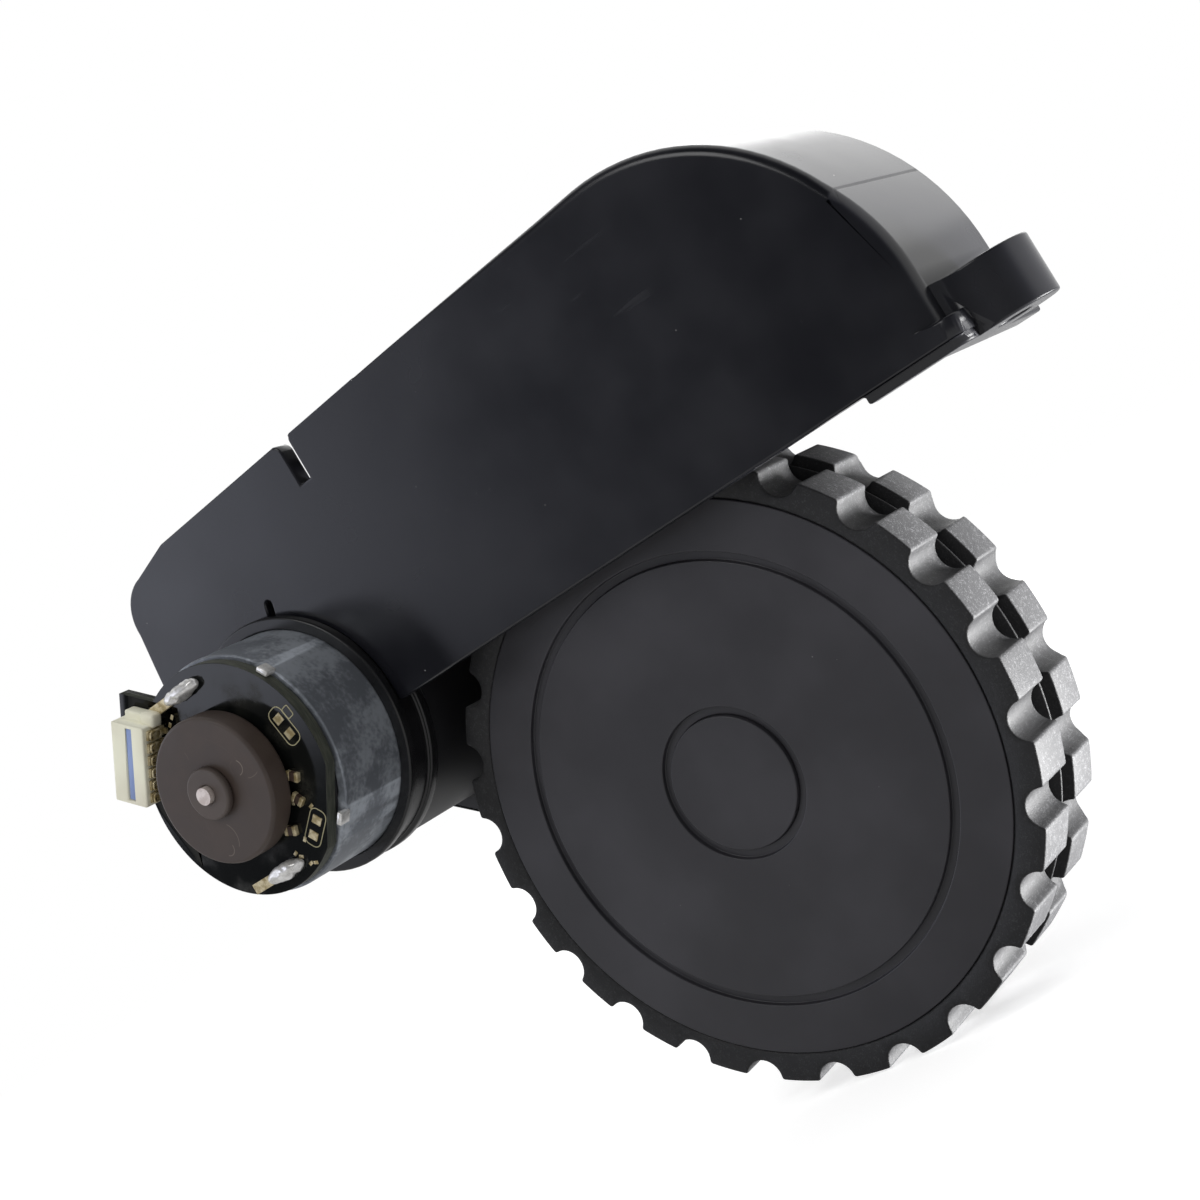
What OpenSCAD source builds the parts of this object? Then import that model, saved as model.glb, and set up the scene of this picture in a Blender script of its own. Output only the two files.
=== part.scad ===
// Drive wheel module of a robot vacuum cleaner, in millimetres, Z up.
// The origin is the middle of the screw hole in the front ear.
// The wheel hangs on an arm that swings about the motor's own axis.

/* [Wheel] */
// Outside diameter of the tyre
wheel_diameter = 68; // [66:0.5:70]
// Thickness of the rubber from the rim to the top of the lugs
tyre_thickness = 3.3; // [3:0.1:3.6]
// Width of the tyre along the axle
tread_width = 15.44; // [15:0.02:15.8]
// Lugs in each of the two staggered rows
lug_count = 24; // [22:1:26]
// Radius of the scallops cut between the lugs
scallop_radius = 2.1; // [1.8:0.1:2.3]
// Angle of the first scallop of the front row
scallop_phase = 1.3; // [0:0.1:14]
// Thickness of the thin fin between the rows
fin_thickness = 0.35; // [0.3:0.05:0.6]
// Radius of the middle line of the wide groove in the wheel face
face_groove_radius = 24.68; // [22:0.02:26]
// Radius of the hub cap in the middle of the wheel
cap_radius = 7.47; // [7:0.01:8]
// Depth of the two ring grooves in the wheel face
groove_depth = 0.6; // [0.4:0.1:0.8]

/* [Motor] */
// Outside diameter of the motor can
can_diameter = 28; // [27.6:0.1:28.4]
// Length of the motor can
can_length = 32.5; // [32:0.1:33]
// Diameter of the motor shaft
shaft_diameter = 2; // [2:0.1:2.2]
// Diameter of the speed sensing magnet
magnet_diameter = 17; // [16:0.1:17.6]
// Radius of the round circuit board
board_radius = 13.6; // [13.2:0.1:13.8]
// Thickness of the circuit board
board_thickness = 1.54; // [1.2:0.02:1.6]

/* [Gears] */
// Teeth of the motor pinion
pinion_teeth = 10; // [10:1:11]
// Teeth of the first large gear
first_teeth = 40; // [38:1:40]
// Teeth of the second large gear
second_teeth = 46; // [44:1:46]
// Teeth of the gear on the wheel axle
output_teeth = 45; // [44:1:46]
// Teeth of the small gears moulded on the first and second gears
small_teeth = 12; // [12:1:13]
// Face width of every gear
gear_width = 3.2; // [3:0.1:3.4]
// Amount each tooth is thinned to give backlash
backlash = 0.07; // [0.05:0.01:0.12]

/* [Swing arm] */
// Angle of the arm below level with the wheel fully out
arm_angle = 31.9; // [30:0.1:34]
// Wall thickness of the gear case
case_wall = 1.8; // [1.6:0.1:2]
// Radius of the barrel groove that turns in the shroud
barrel_radius = 15; // [14.9:0.02:15.1]
// Height of the spring lever above the swing axis
lever_radius = 18; // [17.8:0.1:18.4]
// Wire diameter of the suspension spring
spring_wire = 0.8; // [0.6:0.1:0.9]
// Turns of the suspension spring
spring_turns = 22; // [18:1:24]

/* [Shroud] */
// Thickness of the side plate
plate_thickness = 2.2; // [2:0.05:2.2]
// Thickness of the curved rim wall
rim_wall = 2; // [1.6:0.1:2.2]
// Radius of the rounded corner of the shroud
corner_radius = 25.47; // [25:0.01:26]
// Radius of each screw ear
ear_radius = 4.8; // [4.4:0.1:5.2]
// Height of each screw ear
ear_height = 6.2; // [5.8:0.1:6.6]
// Diameter of the screw hole in each ear
ear_hole = 3.4; // [3.2:0.1:3.6]
// Thickness of the far side plate
bracket_thickness = 2.2; // [2:0.1:2.4]

/* [Hidden] */
$fn = 96;

wheel_r = wheel_diameter / 2;
seam_r = wheel_r - tyre_thickness;
face_y = 4.86;
tyre_back = face_y + tread_width;
case_y = tyre_back + 0.8;
front_wall = 2.2;
cavity_y = case_y + front_wall;
plane_a = cavity_y + 0.7;
plane_b = plane_a + gear_width + 0.6;
cover_y = plane_b + gear_width + 0.6;
cover_thickness = 2;
cover_back = cover_y + cover_thickness;
bracket_y = cover_back + 2.4;
bracket_back = bracket_y + bracket_thickness;
rim_y = case_y + 0.1;

mod_a = 0.5;
mod_b = 0.6;
mod_c = 0.8;
pressure = 25;
addendum = 0.9;
dedendum = 1.15;
s1 = (pinion_teeth + first_teeth) * mod_a / 2;
s2 = s1 + (small_teeth + second_teeth) * mod_b / 2;
s3 = s2 + (small_teeth + output_teeth) * mod_c / 2;
first_tip = first_teeth * mod_a / 2 + addendum * mod_a;
second_tip = second_teeth * mod_b / 2 + addendum * mod_b;
output_tip = output_teeth * mod_c / 2 + addendum * mod_c;
gear_room = 0.7;
web_r = output_teeth * mod_c / 2 - 3;
web_hole = 7.4;

can_r = can_diameter / 2;
can_back = case_y - can_length;
can_wall = 1.2;
shaft_r = shaft_diameter / 2;
board_back = can_back - 0.26;
board_front = board_back - board_thickness;
magnet_back = board_front - 0.6;
magnet_front = magnet_back - 3.2;
hub_front = magnet_front - 1;
shaft_tip = hub_front - 0.6;

flange_r = barrel_radius + 0.5;
flange_gap = 0.3;
flange_width = 1.3;
bush_r = 5;
axle_r = 3;
axle_flat = 2.5;
axle_front = 10.2;
hub_back = 16;
washer_thickness = 0.5;
boss_front = hub_back + washer_thickness + 0.3;
run_gap = 0.03;
tooth_cut = 3;

armature_r = can_r - can_wall - 2.7;
winding_r = armature_r - 1.1;
winding_hole = 3.2;
winding_front = can_back + 9.4;
winding_back = case_y - 7;
commutator_front = can_back + 3.3;
brush_reach = 7.5;
brush_half = 1.2;

stub_r = 6;
top_z = 29.4;
top_slope = 0.0248;
plate_bottom = -1.64;
corner_x = 67.54;
corner_z = 5.73;
side_x = corner_x + corner_radius;
post_r = 3.2;
spring_y = plane_b + 1.2;
spring_r = 2.6;
spring_end = 44;
hook_start = 5.4;
hook_end = 40.1;

notch_angle = 71.5;
notch_width = 1;
notch_depth = 2.2;
slot_x = 18.7;
slot_width = 1.7;

ear_x = 96.7;
ear_y = 7.7;
ear_z = -2.6;
tab_reach = barrel_radius + 3.2;
stop_reach = barrel_radius + 5;
stop_gap = barrel_radius + 1.2;
bracket_left = -barrel_radius - 6;
bracket_top = 29.3;
bracket_bottom = 1.2;
bracket_corner_x = 60;
bracket_corner_z = 5.3;
bracket_corner_r = 24;
bracket_right = bracket_corner_x + bracket_corner_r;
wall = 2;
rear_ear_y = bracket_back + 5;
rear_ears = [-14, 33];
posts = [[-9, 24], [24.5, 25.9], [80, 18.5]];

function turn(r, a) = [r * cos(a), r * sin(a)];
function top_at(x) = top_z + top_slope * (x + 4.8);
function involute(a) = tan(a) * 180 / PI - a;
function half_tooth(n, m, r) =
    let (base = n * m / 2 * cos(pressure))
    90 / n - backlash / (n * m) * 180 / PI + involute(pressure)
        - involute(r > base ? acos(base / r) : 0);
function tooth_side(n, m) =
    let (base = n * m / 2 * cos(pressure),
         foot = n * m / 2 - dedendum * m,
         tip = n * m / 2 + addendum * m,
         low = max(base, foot))
    [for (i = [0 : tooth_cut]) low + (tip - low) * i / tooth_cut];

// Gear outline with a tooth centred on the X axis, turned by phase
module gear_shape(n, m, phase = 0) {
    foot = n * m / 2 - dedendum * m;
    side = tooth_side(n, m);
    polygon([for (k = [0 : n - 1])
        let (mid = phase + 360 * k / n,
             root = half_tooth(n, m, side[0]))
        each concat(
            [turn(foot, mid - root - 2 / n)],
            [for (i = [0 : tooth_cut]) turn(side[i], mid - half_tooth(n, m, side[i]))],
            [for (i = [tooth_cut : -1 : 0]) turn(side[i], mid + half_tooth(n, m, side[i]))],
            [turn(foot, mid + root + 2 / n)])]);
}

// A flat outline drawn in X and Z, made solid from y0 to y1
module slab(y0, y1) {
    translate([0, y1, 0]) rotate([90, 0, 0]) linear_extrude(y1 - y0) children();
}

// A round bar along Y
module rod(r, y0, y1, x = 0, z = 0) {
    translate([x, y0, z]) rotate([-90, 0, 0]) cylinder(r = r, h = y1 - y0);
}

// A round bar along Y with a hole
module sleeve(r, hole, y0, y1, x = 0, z = 0) {
    difference() {
        rod(r, y0, y1, x, z);
        rod(hole, y0 - 1, y1 + 1, x, z);
    }
}

// A block given by its two corners
module block(low, high) {
    translate(low) cube(high - low);
}

// Two discs joined by their outer tangents, drawn a hair inside the discs
module strap(a, ra, b, rb) {
    in = 0.99;
    d = norm(b - a);
    heading = atan2(b[1] - a[1], b[0] - a[0]);
    lean = acos((ra - rb) / d);
    translate(a) circle(ra);
    translate(b) circle(rb);
    polygon([a + turn(in * ra, heading + lean), b + turn(in * rb, heading + lean),
        b + turn(in * rb, heading - lean), a + turn(in * ra, heading - lean)]);
}

module place() {
    translate([-ear_x, -ear_y, -ear_z - ear_height / 2]) children();
}

// The arm's own frame, X from the swing axis to the wheel centre
module arm() {
    rotate([0, arm_angle, 0]) children();
}

module at_wheel() {
    arm() translate([s3, 0, 0]) rotate([0, -arm_angle, 0]) children();
}

// Round bar with a flat, for the driven bores
module flat_round(r, flat) {
    difference() {
        circle(r);
        translate([flat, -r - 1]) square([r, 2 * r + 2]);
    }
}

// Shroud

module plate_shape() {
    difference() {
        union() {
            polygon([[-16.5, plate_bottom], [-16.5, 15.2], [-16.2, 17.5], [-15.5, 22.2],
                [-12.1, 27.55], [-4.8, top_z], [corner_x, corner_z + corner_radius],
                [corner_x, corner_z], [side_x, corner_z], [side_x, plate_bottom]]);
            translate([-10.2, 22.6]) circle(5.3);
            translate([corner_x, corner_z]) intersection() {
                circle(corner_radius);
                square(corner_radius + 1);
            }
        }
        circle(barrel_radius + 0.08);
        translate([-barrel_radius - 0.08, plate_bottom - 1])
            square([2 * barrel_radius + 0.16, 1 - plate_bottom]);
        // notch at the edge of the bearing
        rotate(notch_angle) {
            translate([barrel_radius - 1, -notch_width / 2])
                square([notch_depth - notch_width / 2 + 1, notch_width]);
            translate([barrel_radius + notch_depth - notch_width / 2, 0]) circle(notch_width / 2);
        }
        // slot from the top edge, with rounded corners at its mouth
        translate([slot_x, 24.6]) square([slot_width, 10]);
        translate([slot_x, top_at(slot_x)]) rounding(1.2, -1);
        slot_right_rounding();
    }
}

// Waste of a rounded top corner of a piece that lies on the given side of it
module rounding(r, side) {
    difference() {
        translate([side < 0 ? -r : 0, -r]) square([r, r + 1]);
        translate([side * r, -r]) circle(r);
    }
}

module slot_right_rounding() {
    translate([slot_x + slot_width, top_at(slot_x + slot_width)]) rounding(0.8, 1);
}

module rim_shape() {
    rim_start = slot_x + slot_width;
    difference() {
        polygon([[rim_start, top_at(rim_start)], [corner_x, corner_z + corner_radius],
            [corner_x, corner_z + corner_radius - rim_wall],
            [rim_start, top_at(rim_start) - rim_wall]]);
        slot_right_rounding();
    }
    translate([corner_x, corner_z]) intersection() {
        difference() {
            circle(corner_radius);
            circle(corner_radius - rim_wall);
        }
        square(corner_radius + 1);
    }
    translate([side_x - rim_wall, plate_bottom])
        square([rim_wall, corner_z - plate_bottom]);
}

module bevel_cut() {
    translate([0, 0, 0.4]) linear_extrude(17)
        polygon([[side_x - 2.6, -1], [side_x - 2.6, 0], [side_x + 0.2, 1.7],
            [side_x + 2, 1.7], [side_x + 2, -1]]);
}

module shroud() {
    color([0.12, 0.125, 0.14]) place() difference() {
        union() {
            difference() {
                union() {
                    slab(0, plate_thickness) plate_shape();
                    slab(0, rim_y) rim_shape();
                }
                bevel_cut();
            }
            for (p = posts)
                rod(post_r, plate_thickness, rim_y, p[0], p[1]);
            // rib from the middle post up to the rim
            block([23.5, plate_thickness, 26], [25.5, rim_y, top_at(24) - 1]);
            // ribs tying the right post to the rim
            block([79, plate_thickness, 19], [81, rim_y, 25.8]);
            block([81, plate_thickness, 17.5], [88.8, rim_y, 19.5]);
            // foot, lip and screw ear at the lower right corner
            translate([0, 0, plate_bottom]) linear_extrude(0.4 - plate_bottom) {
                translate([91.2, 0]) square([1.9, 4]);
                translate([93.1, 2]) circle(2);
                translate([93.1, 2]) square([2, 2]);
            }
            translate([0, 0, ear_z]) linear_extrude(1) {
                translate([83, 0.3]) square([10.2, 1.9]);
                translate([side_x - rim_wall, 1]) square([rim_wall + 1.2, rim_y - 1]);
                translate([93.1, 2]) circle(1.7);
                translate([93.1, 2]) square([1.7, 3]);
            }
            translate([0, 0, ear_z]) linear_extrude(ear_height) {
                translate([ear_x, ear_y]) circle(ear_radius);
                translate([side_x - rim_wall, ear_y - ear_radius])
                    square([ear_x - side_x + rim_wall, 2 * ear_radius]);
            }
        }
        translate([ear_x, ear_y, ear_z - 1]) cylinder(d = ear_hole, h = ear_height + 2);
        for (p = posts)
            rod(1.25, rim_y - 9, rim_y + 1, p[0], p[1]);
    }
}

module bracket_shape() {
    foot = rear_ears[1];
    polygon([[bracket_left, -4], [bracket_left, bracket_top], [bracket_corner_x, bracket_top],
        [bracket_corner_x, bracket_corner_z], [bracket_right, bracket_corner_z],
        [bracket_right, bracket_bottom], [foot + 5, bracket_bottom], [foot + 5, ear_z],
        [foot - 5, ear_z], [foot - 5, bracket_bottom], [stub_r + 5, bracket_bottom],
        [stub_r, -stub_r - 3], [-stub_r, -stub_r - 3], [bracket_left + wall, -stub_r]]);
    translate([bracket_corner_x, bracket_corner_z]) intersection() {
        circle(bracket_corner_r);
        square(bracket_corner_r + 1);
    }
    circle(stub_r + 5);
    translate(posts[2]) circle(3.8);
}

module inner_bracket() {
    color([0.15, 0.15, 0.16]) place() difference() {
        union() {
            slab(bracket_y, bracket_back) bracket_shape();
            for (p = posts)
                rod(3.8, rim_y, bracket_y + 1, p[0], p[1]);
            // top wall and left wall
            block([bracket_left, rim_y + 0.4, bracket_top - wall],
                [bracket_corner_x, bracket_y + 1, bracket_top]);
            block([bracket_left, rim_y + 3, -4], [bracket_left + wall, bracket_y + 1, bracket_top]);
            slab(bracket_y - 8, bracket_y + 1)
                translate([bracket_corner_x, bracket_corner_z]) intersection() {
                    difference() {
                        circle(bracket_corner_r);
                        circle(bracket_corner_r - wall);
                    }
                    square(bracket_corner_r + 1);
                }
            // collar round the far swing bearing
            sleeve(stub_r + 3, stub_r + 0.05, bracket_y, bracket_back + 1);
            // post and shoulder for the spring
            rod(1.5, spring_y - 2.6, bracket_y + 1, spring_end, lever_radius);
            rod(2.2, spring_y - 2.6, spring_y - 1.8, spring_end, lever_radius);
            rod(2.8, spring_y + 2.6, bracket_y + 1, spring_end, lever_radius);
            // stop for the arm with the wheel fully out
            block([-stop_reach, plane_b - 1.8, 2.8], [-stop_gap, bracket_y + 1, 6.8]);
            for (x = rear_ears) translate([x, 0, ear_z]) linear_extrude(ear_height) {
                translate([0, rear_ear_y]) circle(ear_radius);
                translate([-ear_radius, bracket_y + 0.5])
                    square([2 * ear_radius, rear_ear_y - bracket_y - 0.5]);
            }
        }
        rod(stub_r + 0.05, bracket_y - 1, bracket_back + 2);
        for (x = rear_ears)
            translate([x, rear_ear_y, ear_z - 1]) cylinder(d = ear_hole, h = ear_height + 2);
        for (p = posts) {
            rod(1.25, rim_y - 1, bracket_back + 1, p[0], p[1]);
            rod(2.8, rim_y + 3, bracket_back + 1, p[0], p[1]);
        }
    }
}

module bracket_screws() {
    color([0.7, 0.7, 0.72]) place() for (p = posts) difference() {
        union() {
            rod(1.25, rim_y - 8, rim_y + 3.5, p[0], p[1]);
            rod(2.7, rim_y + 3, rim_y + 5, p[0], p[1]);
        }
        block([p[0] - 2, rim_y + 4.2, p[1] - 0.3], [p[0] + 2, rim_y + 6, p[1] + 0.3]);
        block([p[0] - 0.3, rim_y + 4.2, p[1] - 2], [p[0] + 0.3, rim_y + 6, p[1] + 2]);
    }
}

// Coil of the spring: rings of points carried along a helix
module coil() {
    sides = 6;
    steps = 12 * spring_turns;
    wire = spring_wire / 2;
    function outward(i) =
        let (a = 180 + 360 * i / steps * (spring_turns + 0.25))
        [0, cos(a), sin(a)];
    points = [for (i = [0 : steps]) for (j = [0 : sides - 1])
        [hook_start + (hook_end - hook_start) * i / steps + wire * sin(60 * j), 0, 0]
            + outward(i) * (spring_r + wire * cos(60 * j))];
    faces = concat(
        [[for (j = [sides - 1 : -1 : 0]) j]],
        [[for (j = [0 : sides - 1]) steps * sides + j]],
        [for (i = [0 : steps - 1]) for (j = [0 : sides - 1])
            [i * sides + j, i * sides + (j + 1) % sides, (i + 1) * sides + (j + 1) % sides,
                (i + 1) * sides + j]]);
    polyhedron(points, faces);
}

module hook(leg) {
    wire = spring_wire / 2;
    rotate_extrude(angle = 180, $fn = 48) translate([spring_r, 0]) circle(wire, $fn = 24);
    for (x = [-spring_r, spring_r])
        translate([x, 0, 0]) rotate([90, 0, 0]) cylinder(r = wire, h = leg, $fn = 24);
}

module suspension_spring() {
    color([0.6, 0.6, 0.62]) place() translate([0, spring_y, lever_radius]) {
        coil();
        translate([spring_r, 0, 0]) rotate([0, 0, 90]) hook(hook_start - spring_r + 0.2);
        translate([spring_end - 0.7, 0, 0]) rotate([90, 0, 0]) rotate([0, 0, -90])
            hook(spring_end - 0.7 - hook_end + 0.2);
    }
}

// Swing arm

module case_outline(extra) {
    r0 = barrel_radius + 0.3 + extra;
    r1 = first_tip + gear_room + case_wall + extra;
    r2 = second_tip + gear_room + case_wall + extra;
    r3 = output_tip + gear_room + case_wall + extra;
    strap([0, 0], r0, [s2, 0], r2);
    translate([s1, 0]) circle(r1);
    strap([s2, 0], r2, [s3, 0], r3);
}

module case_bosses(r) {
    for (p = boss_points())
        translate(p) circle(r);
}

function boss_points() = [
    turn(barrel_radius + 1.9, 120 + arm_angle),
    turn(barrel_radius + 1.9, 205 + arm_angle),
    [s3, 0] + turn(output_tip + gear_room + case_wall + 1, 40),
    [s3, 0] + turn(output_tip + gear_room + case_wall + 1, -40)];

module gearbox_case() {
    color([0.1, 0.1, 0.11]) place() difference() {
        union() {
            // barrel that holds the motor and turns in the shroud
            rod(barrel_radius, -flange_gap - flange_width, case_y + 0.5);
            rod(flange_r, -flange_gap - flange_width, -flange_gap);
            rod(flange_r, plate_thickness + flange_gap, plate_thickness + flange_gap + 1.4);
            // gear case
            arm() slab(case_y, cover_y) {
                case_outline(0);
                case_bosses(3);
            }
            at_wheel() rod(bush_r + 2, boss_front, case_y + 1);
            // lever for the spring
            slab(plane_b - 0.3, plane_b + 2.7) strap([0, 11], 3.2, [0, lever_radius], 3.2);
            // tab that meets the stop
            block([-tab_reach, plane_b - 1.8, -2.5], [-barrel_radius + 1.5, plane_b + 2.2, 2.5]);
        }
        rod(can_r, -flange_gap - flange_width - 1, case_y);
        rod(5, case_y - 1, cavity_y + 1);
        arm() slab(cavity_y, cover_y + 1) case_outline(-case_wall);
        at_wheel() rod(bush_r, boss_front - 1, cavity_y + 1);
        arm() for (s = [s1, s2])
            rod(1, case_y + 0.8, cavity_y + 1, s, 0);
        arm() for (z = [-8, 8])
            rod(1.25, case_y - 1, cavity_y + 1, 0, z);
        arm() for (p = boss_points())
            rod(1.1, cover_y - 6, cover_y + 1, p[0], p[1]);
        rod(1.2, plane_b - 1, plane_b + 4, 0, lever_radius);
    }
}

module gearbox_cover() {
    color([0.12, 0.12, 0.13]) place() difference() {
        union() {
            arm() slab(cover_y, cover_back) {
                case_outline(0);
                case_bosses(3);
            }
            rod(stub_r, cover_back - 0.5, bracket_back);
            rod(8, cover_back - 0.5, cover_back + 0.6);
            at_wheel() rod(7, cover_back - 0.5, cover_back + 0.8);
        }
        rod(3.5, cover_back + 0.8, bracket_back + 1);
        at_wheel() rod(bush_r, cover_y - 1, cover_back + 2);
        arm() for (s = [s1, s2])
            rod(1, cover_y - 1, cover_y + 1.2, s, 0);
        arm() for (p = boss_points())
            rod(1.1, cover_y - 1, cover_back + 1, p[0], p[1]);
    }
}

module cover_screws() {
    color([0.7, 0.7, 0.72]) place() arm() for (p = boss_points()) difference() {
        union() {
            rod(1.1, cover_y - 5, cover_back + 0.5, p[0], p[1]);
            rod(2, cover_back, cover_back + 1.4, p[0], p[1]);
        }
        block([p[0] - 1.4, cover_back + 0.8, p[1] - 0.25], [p[0] + 1.4, cover_back + 2, p[1] + 0.25]);
        block([p[0] - 0.25, cover_back + 0.8, p[1] - 1.4], [p[0] + 0.25, cover_back + 2, p[1] + 1.4]);
    }
}

module gear_pins() {
    color([0.75, 0.75, 0.76]) place() arm() for (s = [s1, s2])
        rod(1, case_y + 0.8, cover_y + 1.2, s, 0);
}

module axle_bushes() {
    color([0.72, 0.52, 0.25]) place() at_wheel() {
        sleeve(bush_r, axle_r + run_gap, boss_front, cavity_y);
        sleeve(bush_r, axle_r + run_gap, cover_y, cover_back + 0.8);
    }
}

// Motor

module motor_can() {
    color([0.62, 0.64, 0.67]) place() difference() {
        union() {
            rod(can_r, can_back, case_y);
            rod(5, case_y - 0.5, case_y + 1.5);
            // crimped tabs over the end cap
            for (a = [39.4, -46.8, 133, 226]) rotate([0, -a, 0])
                block([can_r - 1, can_back - 0.26, -1.1], [can_r - 0.1, can_back + 0.5, 1.1]);
        }
        rod(can_r - can_wall, can_back - 1, case_y - can_wall);
        rod(3, case_y - 2, case_y + 2);
        arm() for (z = [-8, 8])
            rod(1.25, case_y - 2, case_y + 1, 0, z);
    }
}

module motor_end_cap() {
    color([0.09, 0.09, 0.1]) place() difference() {
        union() {
            rod(can_r - can_wall, board_back, can_back + 2);
            rod(4.4, can_back + 1.5, can_back + 3);
        }
        rod(3, board_back - 1, can_back + 4);
        for (z = [-11.5, 11.5])
            block([-0.5, board_back - 1, z - 0.6], [0.5, can_back + 3, z + 0.6]);
        for (s = [-1, 1])
            brush_block(s, brush_reach - 2.5, can_back + 1, can_back + 3);
    }
}

module motor_bushes() {
    color([0.7, 0.5, 0.24]) place() {
        sleeve(3, shaft_r + run_gap, case_y - 1.8, case_y + 1.3);
        sleeve(3, shaft_r + run_gap, can_back + 0.2, can_back + 3);
    }
}

module motor_screws() {
    color([0.7, 0.7, 0.72]) place() arm() for (z = [-8, 8]) difference() {
        union() {
            rod(1.25, case_y - can_wall, cavity_y + 0.5, 0, z);
            rod(2.2, cavity_y, cavity_y + 1.6, 0, z);
        }
        block([-1.5, cavity_y + 0.9, z - 0.3], [1.5, cavity_y + 2, z + 0.3]);
        block([-0.3, cavity_y + 0.9, z - 1.5], [0.3, cavity_y + 2, z + 1.5]);
    }
}

module stator_magnets() {
    color([0.25, 0.25, 0.27]) place() for (a = [0, 180]) rotate([0, a, 0])
        slab(can_back + 6, case_y - 4) intersection() {
            difference() {
                circle(can_r - can_wall);
                circle(can_r - can_wall - 2.2);
            }
            polygon([[0, 0], [14, -21], [21, -14], [21, 14], [14, 21]]);
        }
}

// Block out to the brush's reach on one side of the shaft
module brush_block(s, near, y0, y1) {
    block([min(s * near, s * brush_reach), y0, -brush_half],
        [max(s * near, s * brush_reach), y1, brush_half]);
}

module motor_brushes() {
    color([0.3, 0.29, 0.28]) place() for (s = [-1, 1]) {
        brush_block(s, winding_hole + 0.15, can_back + 3.5, can_back + 6);
        brush_block(s, brush_reach - 2.5, can_back + 1, can_back + 4);
    }
}

module motor_shaft() {
    color([0.8, 0.8, 0.82]) place() rod(shaft_r, shaft_tip, plane_a + gear_width + 0.4);
}

module slot_shape() {
    difference() {
        circle(winding_r);
        circle(winding_hole);
        for (k = [0 : 4]) rotate(72 * k) translate([0, -1.7]) square([armature_r + 2, 3.4]);
    }
}

module armature_core() {
    color([0.42, 0.42, 0.44]) place() slab(winding_front, winding_back) difference() {
        circle(armature_r);
        slot_shape();
        for (k = [0 : 4]) rotate(72 * k + 36) translate([winding_r - 1, -0.5]) square([4, 1]);
        circle(shaft_r);
    }
}

module armature_windings() {
    color([0.72, 0.38, 0.2]) place() {
        slab(winding_front, winding_back) slot_shape();
        sleeve(winding_r, winding_hole, winding_front - 2.4, winding_front);
        sleeve(winding_r, winding_hole, winding_back, winding_back + 2.4);
    }
}

module commutator() {
    color([0.75, 0.45, 0.25]) place() difference() {
        rod(winding_hole, commutator_front, winding_front);
        rod(shaft_r, can_back, winding_front + 3);
    }
}

module motor_pinion() {
    color([0.78, 0.62, 0.3]) place() arm() slab(plane_a - 0.1, plane_a + gear_width + 0.2)
        difference() {
            gear_shape(pinion_teeth, mod_a);
            circle(shaft_r);
        }
}

module encoder_magnet() {
    color([0.2, 0.16, 0.15]) place()
        sleeve(magnet_diameter / 2, 2.4, magnet_front, magnet_back);
}

module encoder_hub() {
    color([0.32, 0.3, 0.3]) place() difference() {
        union() {
            rod(3, hub_front, magnet_front);
            rod(2.4, magnet_front - 0.2, magnet_back);
        }
        rod(shaft_r, hub_front - 1, magnet_back + 1);
    }
}

// Circuit board and its parts

connector_angle = 143;
housing_in = 10.5;
housing_out = 15.3;
housing_low = -5;
housing_high = 4.6;
contact_count = 6;
contact_pitch = 1.5;

// Frame of the connector, X outward from the motor axis along the board
module at_connector() {
    rotate([0, -connector_angle, 0]) children();
}

module circuit_board() {
    color([0.08, 0.1, 0.09]) place() difference() {
        union() {
            rod(board_radius, board_front, board_back);
            at_connector()
                block([board_radius - 5.6, board_front, -7], [board_radius + 3.2, board_back, 5.3]);
        }
        rod(3.6, board_front - 1, board_back + 1);
        // straight cut beside the lower terminal
        rotate([0, 38, 0]) block([board_radius - 0.9, board_front - 1, -9],
            [board_radius + 2, board_back + 1, 9]);
        for (z = [-11.5, 11.5])
            block([-0.5, board_front - 1, z - 0.6], [0.5, board_back + 1, z + 0.6]);
    }
}

module motor_terminals() {
    color([0.8, 0.62, 0.3]) place() for (z = [-11.5, 11.5]) {
        block([-0.5, board_front - 0.6, z - 0.6], [0.5, can_back + 2.6, z + 0.6]);
        block([-5.6, board_front - 0.6, z - 0.6], [0.5, board_front, z + 0.6]);
    }
}

module solder_joints() {
    color([0.85, 0.85, 0.86]) place() for (z = [-11.5, 11.5]) difference() {
        translate([0.1, board_front - 0.5, z]) rotate([0, 90, 0]) rotate_extrude($fn = 48)
            polygon(concat([[0, -3 * cos(18)]],
                [for (i = [1 : 9]) [sin(18 * i), -3 * cos(18 * i)]], [[0, 3 * cos(18)]]));
        block([-9, board_front, z - 3], [9, board_front + 3, z + 3]);
        block([-9, board_front - 0.6, z - 0.6], [0.5, board_front + 3, z + 0.6]);
    }
}

// Place in X and Z, turn and length of each small chip
chips = [[8.2, -3.1, 36, 1.5], [7.1, -5.5, 60, 1.4], [3.8, -8, 24, 1.5]];

module board_chips() {
    color([0.12, 0.12, 0.13]) place() for (c = chips)
        translate([c[0], 0, c[1]]) rotate([0, c[2], 0])
            block([-c[3] / 2, board_front - 0.55, -0.5], [c[3] / 2, board_front, 0.5]);
}

// Distance from the axis and angle of each pair of bare pads
pad_pairs = [[10.8, 10.5], [11.45, -52.9]];
pad_spacing = 2;

module board_pads() {
    color([0.85, 0.7, 0.35]) place() for (p = pad_pairs, side = [-1, 1])
        rotate([0, -p[1], 0]) translate([p[0], 0, side * pad_spacing / 2])
            block([-0.6, board_front - 0.1, -0.5], [0.6, board_front, 0.5]);
}

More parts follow.
